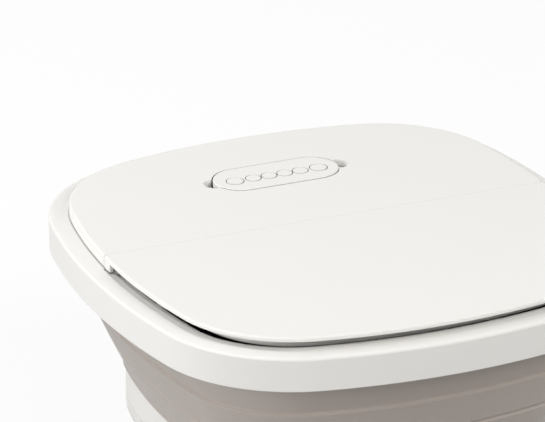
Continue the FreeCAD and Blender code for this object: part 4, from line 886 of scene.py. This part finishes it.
# ---------------------------------------------------------------- CAD pieces
def dress_node(obj, material):
    """CAD mesh with its flat faces joined, sharp edges eased and smooth shading."""
    obj.data.materials.clear()
    obj.data.materials.append(material)
    weld = obj.modifiers.new("Weld", "WELD")
    weld.merge_threshold = 0.005 * MM
    flat = obj.modifiers.new("Flat", "DECIMATE")
    flat.decimate_type = "DISSOLVE"
    flat.angle_limit = math.radians(0.5)
    ease_edges(obj, width=0.35, angle=40)
    shade_smooth(obj, False)


slots = {row["node"]: row["material_slot"] for row in frame["record"]["subparts"]}
for name, obj in frame["nodes"].items():
    dress_node(obj, FINISHES[slots[name]])

# ---------------------------------------------------------------- studio, in metres
FLOOR_HALF = 4
LAMP_DISTANCE = 2.6
LAMP_TARGET = Vector((0, 0, 0.15))
WARM, PLAIN = (1, 0.985, 0.96), (1, 1, 1)
# name, azimuth from the front and elevation in degrees, size, power in watts and colour
LAMPS = (("front", 0, 38, 1.5, 14, WARM), ("front_right", 40, 38, 1.5, 26, WARM),
         ("left", -80, 15, 1.2, 31, PLAIN), ("rear_left", -130, 40, 1.5, 24, PLAIN),
         ("rear", 180, 40, 1.5, 8, PLAIN), ("top", 0, 90, 1.4, 8, PLAIN))
# the camera stands round the middle of the rim's top, and is aimed to the left of it and above
CAMERA_AZIMUTH = math.radians(-24.069)
CAMERA_ELEVATION = math.radians(22.829)
CAMERA_DISTANCE = 6.195
AIM_LEFT, AIM_UP = 0.05157, 0.02205
SENSOR_WIDTH, LENS = 36, 511.85


def towards(azimuth, elevation):
    """Direction from the object: azimuth from its front, positive to its right-hand side."""
    return Vector((math.sin(azimuth) * math.cos(elevation),
                   -math.cos(azimuth) * math.cos(elevation), math.sin(elevation)))


def place_at(obj, place, target):
    """Puts a lamp or camera into the scene, pointing at the target."""
    obj.location = place
    obj.rotation_euler = (target - place).to_track_quat("-Z", "Y").to_euler()
    bpy.context.scene.collection.objects.link(obj)


def grey(value):
    """Opaque grey as a node's colour."""
    return (value, value, value, 1)


def paper_material():
    """Floor that looks white to the camera, keeps shadows and throws little light back."""
    paper = bpy.data.materials.new("paper")
    paper.use_nodes = True
    tree = paper.node_tree
    links = tree.links
    shader = tree.nodes["Principled BSDF"]
    shader.inputs["Roughness"].default_value = 0.9
    path = add_node(tree, "LightPath")
    tone = add_node(tree, "MixRGB", Color1=grey(0.45), Color2=grey(0.95))
    links.new(path.outputs["Is Camera Ray"], tone.inputs["Fac"])
    links.new(tone.outputs["Color"], shader.inputs["Base Color"])
    glow = add_node(tree, "Emission", Strength=1.0)
    share = add_node(tree, "Math")
    share.operation = "MULTIPLY"
    share.inputs[1].default_value = 0.87
    links.new(path.outputs["Is Camera Ray"], share.inputs[0])
    mix = add_node(tree, "MixShader")
    links.new(share.outputs["Value"], mix.inputs["Fac"])
    links.new(shader.outputs["BSDF"], mix.inputs[1])
    links.new(glow.outputs["Emission"], mix.inputs[2])
    links.new(mix.outputs["Shader"], tree.nodes["Material Output"].inputs["Surface"])
    return paper


def studio_world():
    """World with a low warm light on the object, seen as white by the camera."""
    world = bpy.data.worlds.new("studio")
    world.use_nodes = True
    tree = world.node_tree
    links = tree.links
    light = tree.nodes["Background"]
    light.inputs["Color"].default_value = (1.0, 0.99, 0.97, 1)
    light.inputs["Strength"].default_value = 0.23
    seen = add_node(tree, "Background", Color=grey(1), Strength=1.0)
    path = add_node(tree, "LightPath")
    mix = add_node(tree, "MixShader")
    links.new(path.outputs["Is Camera Ray"], mix.inputs["Fac"])
    links.new(light.outputs["Background"], mix.inputs[1])
    links.new(seen.outputs["Background"], mix.inputs[2])
    links.new(mix.outputs["Shader"], tree.nodes["World Output"].inputs["Surface"])
    return world


def lamp(name, azimuth, elevation, size, power, colour):
    """Round soft box that lights the basin from one side."""
    light = bpy.data.lights.new(name, "AREA")
    light.shape = "DISK"
    light.size = size
    light.energy = power
    light.color = colour
    obj = bpy.data.objects.new(name, light)
    ahead = towards(math.radians(azimuth), math.radians(elevation))
    place_at(obj, LAMP_TARGET + ahead * LAMP_DISTANCE, LAMP_TARGET)


def studio_camera():
    """Camera that looks down at the basin's front left corner, as the photograph does."""
    back = towards(CAMERA_AZIMUTH, CAMERA_ELEVATION)
    right = Vector((math.cos(CAMERA_AZIMUTH), math.sin(CAMERA_AZIMUTH), 0))
    up = back.cross(right)
    focus = Vector((0, 0, RIM_TOP * MM))
    camera = bpy.data.cameras.new("camera")
    camera.sensor_width = SENSOR_WIDTH
    camera.lens = LENS
    camera.clip_end = 50
    obj = bpy.data.objects.new("camera", camera)
    place_at(obj, focus + back * CAMERA_DISTANCE, focus - right * AIM_LEFT + up * AIM_UP)
    return obj


corners = [(x * FLOOR_HALF, y * FLOOR_HALF, 0) for x, y in ((-1, -1), (1, -1), (1, 1), (-1, 1))]
sheet = bpy.data.meshes.new("floor")
sheet.from_pydata(corners, [], [(0, 1, 2, 3)])
sheet.materials.append(paper_material())
floor = bpy.data.objects.new("floor", sheet)
bpy.context.scene.collection.objects.link(floor)
bpy.context.scene.world = studio_world()
for row in LAMPS:
    lamp(*row)
bpy.context.scene.camera = studio_camera()
bpy.context.scene.view_settings.view_transform = "Standard"
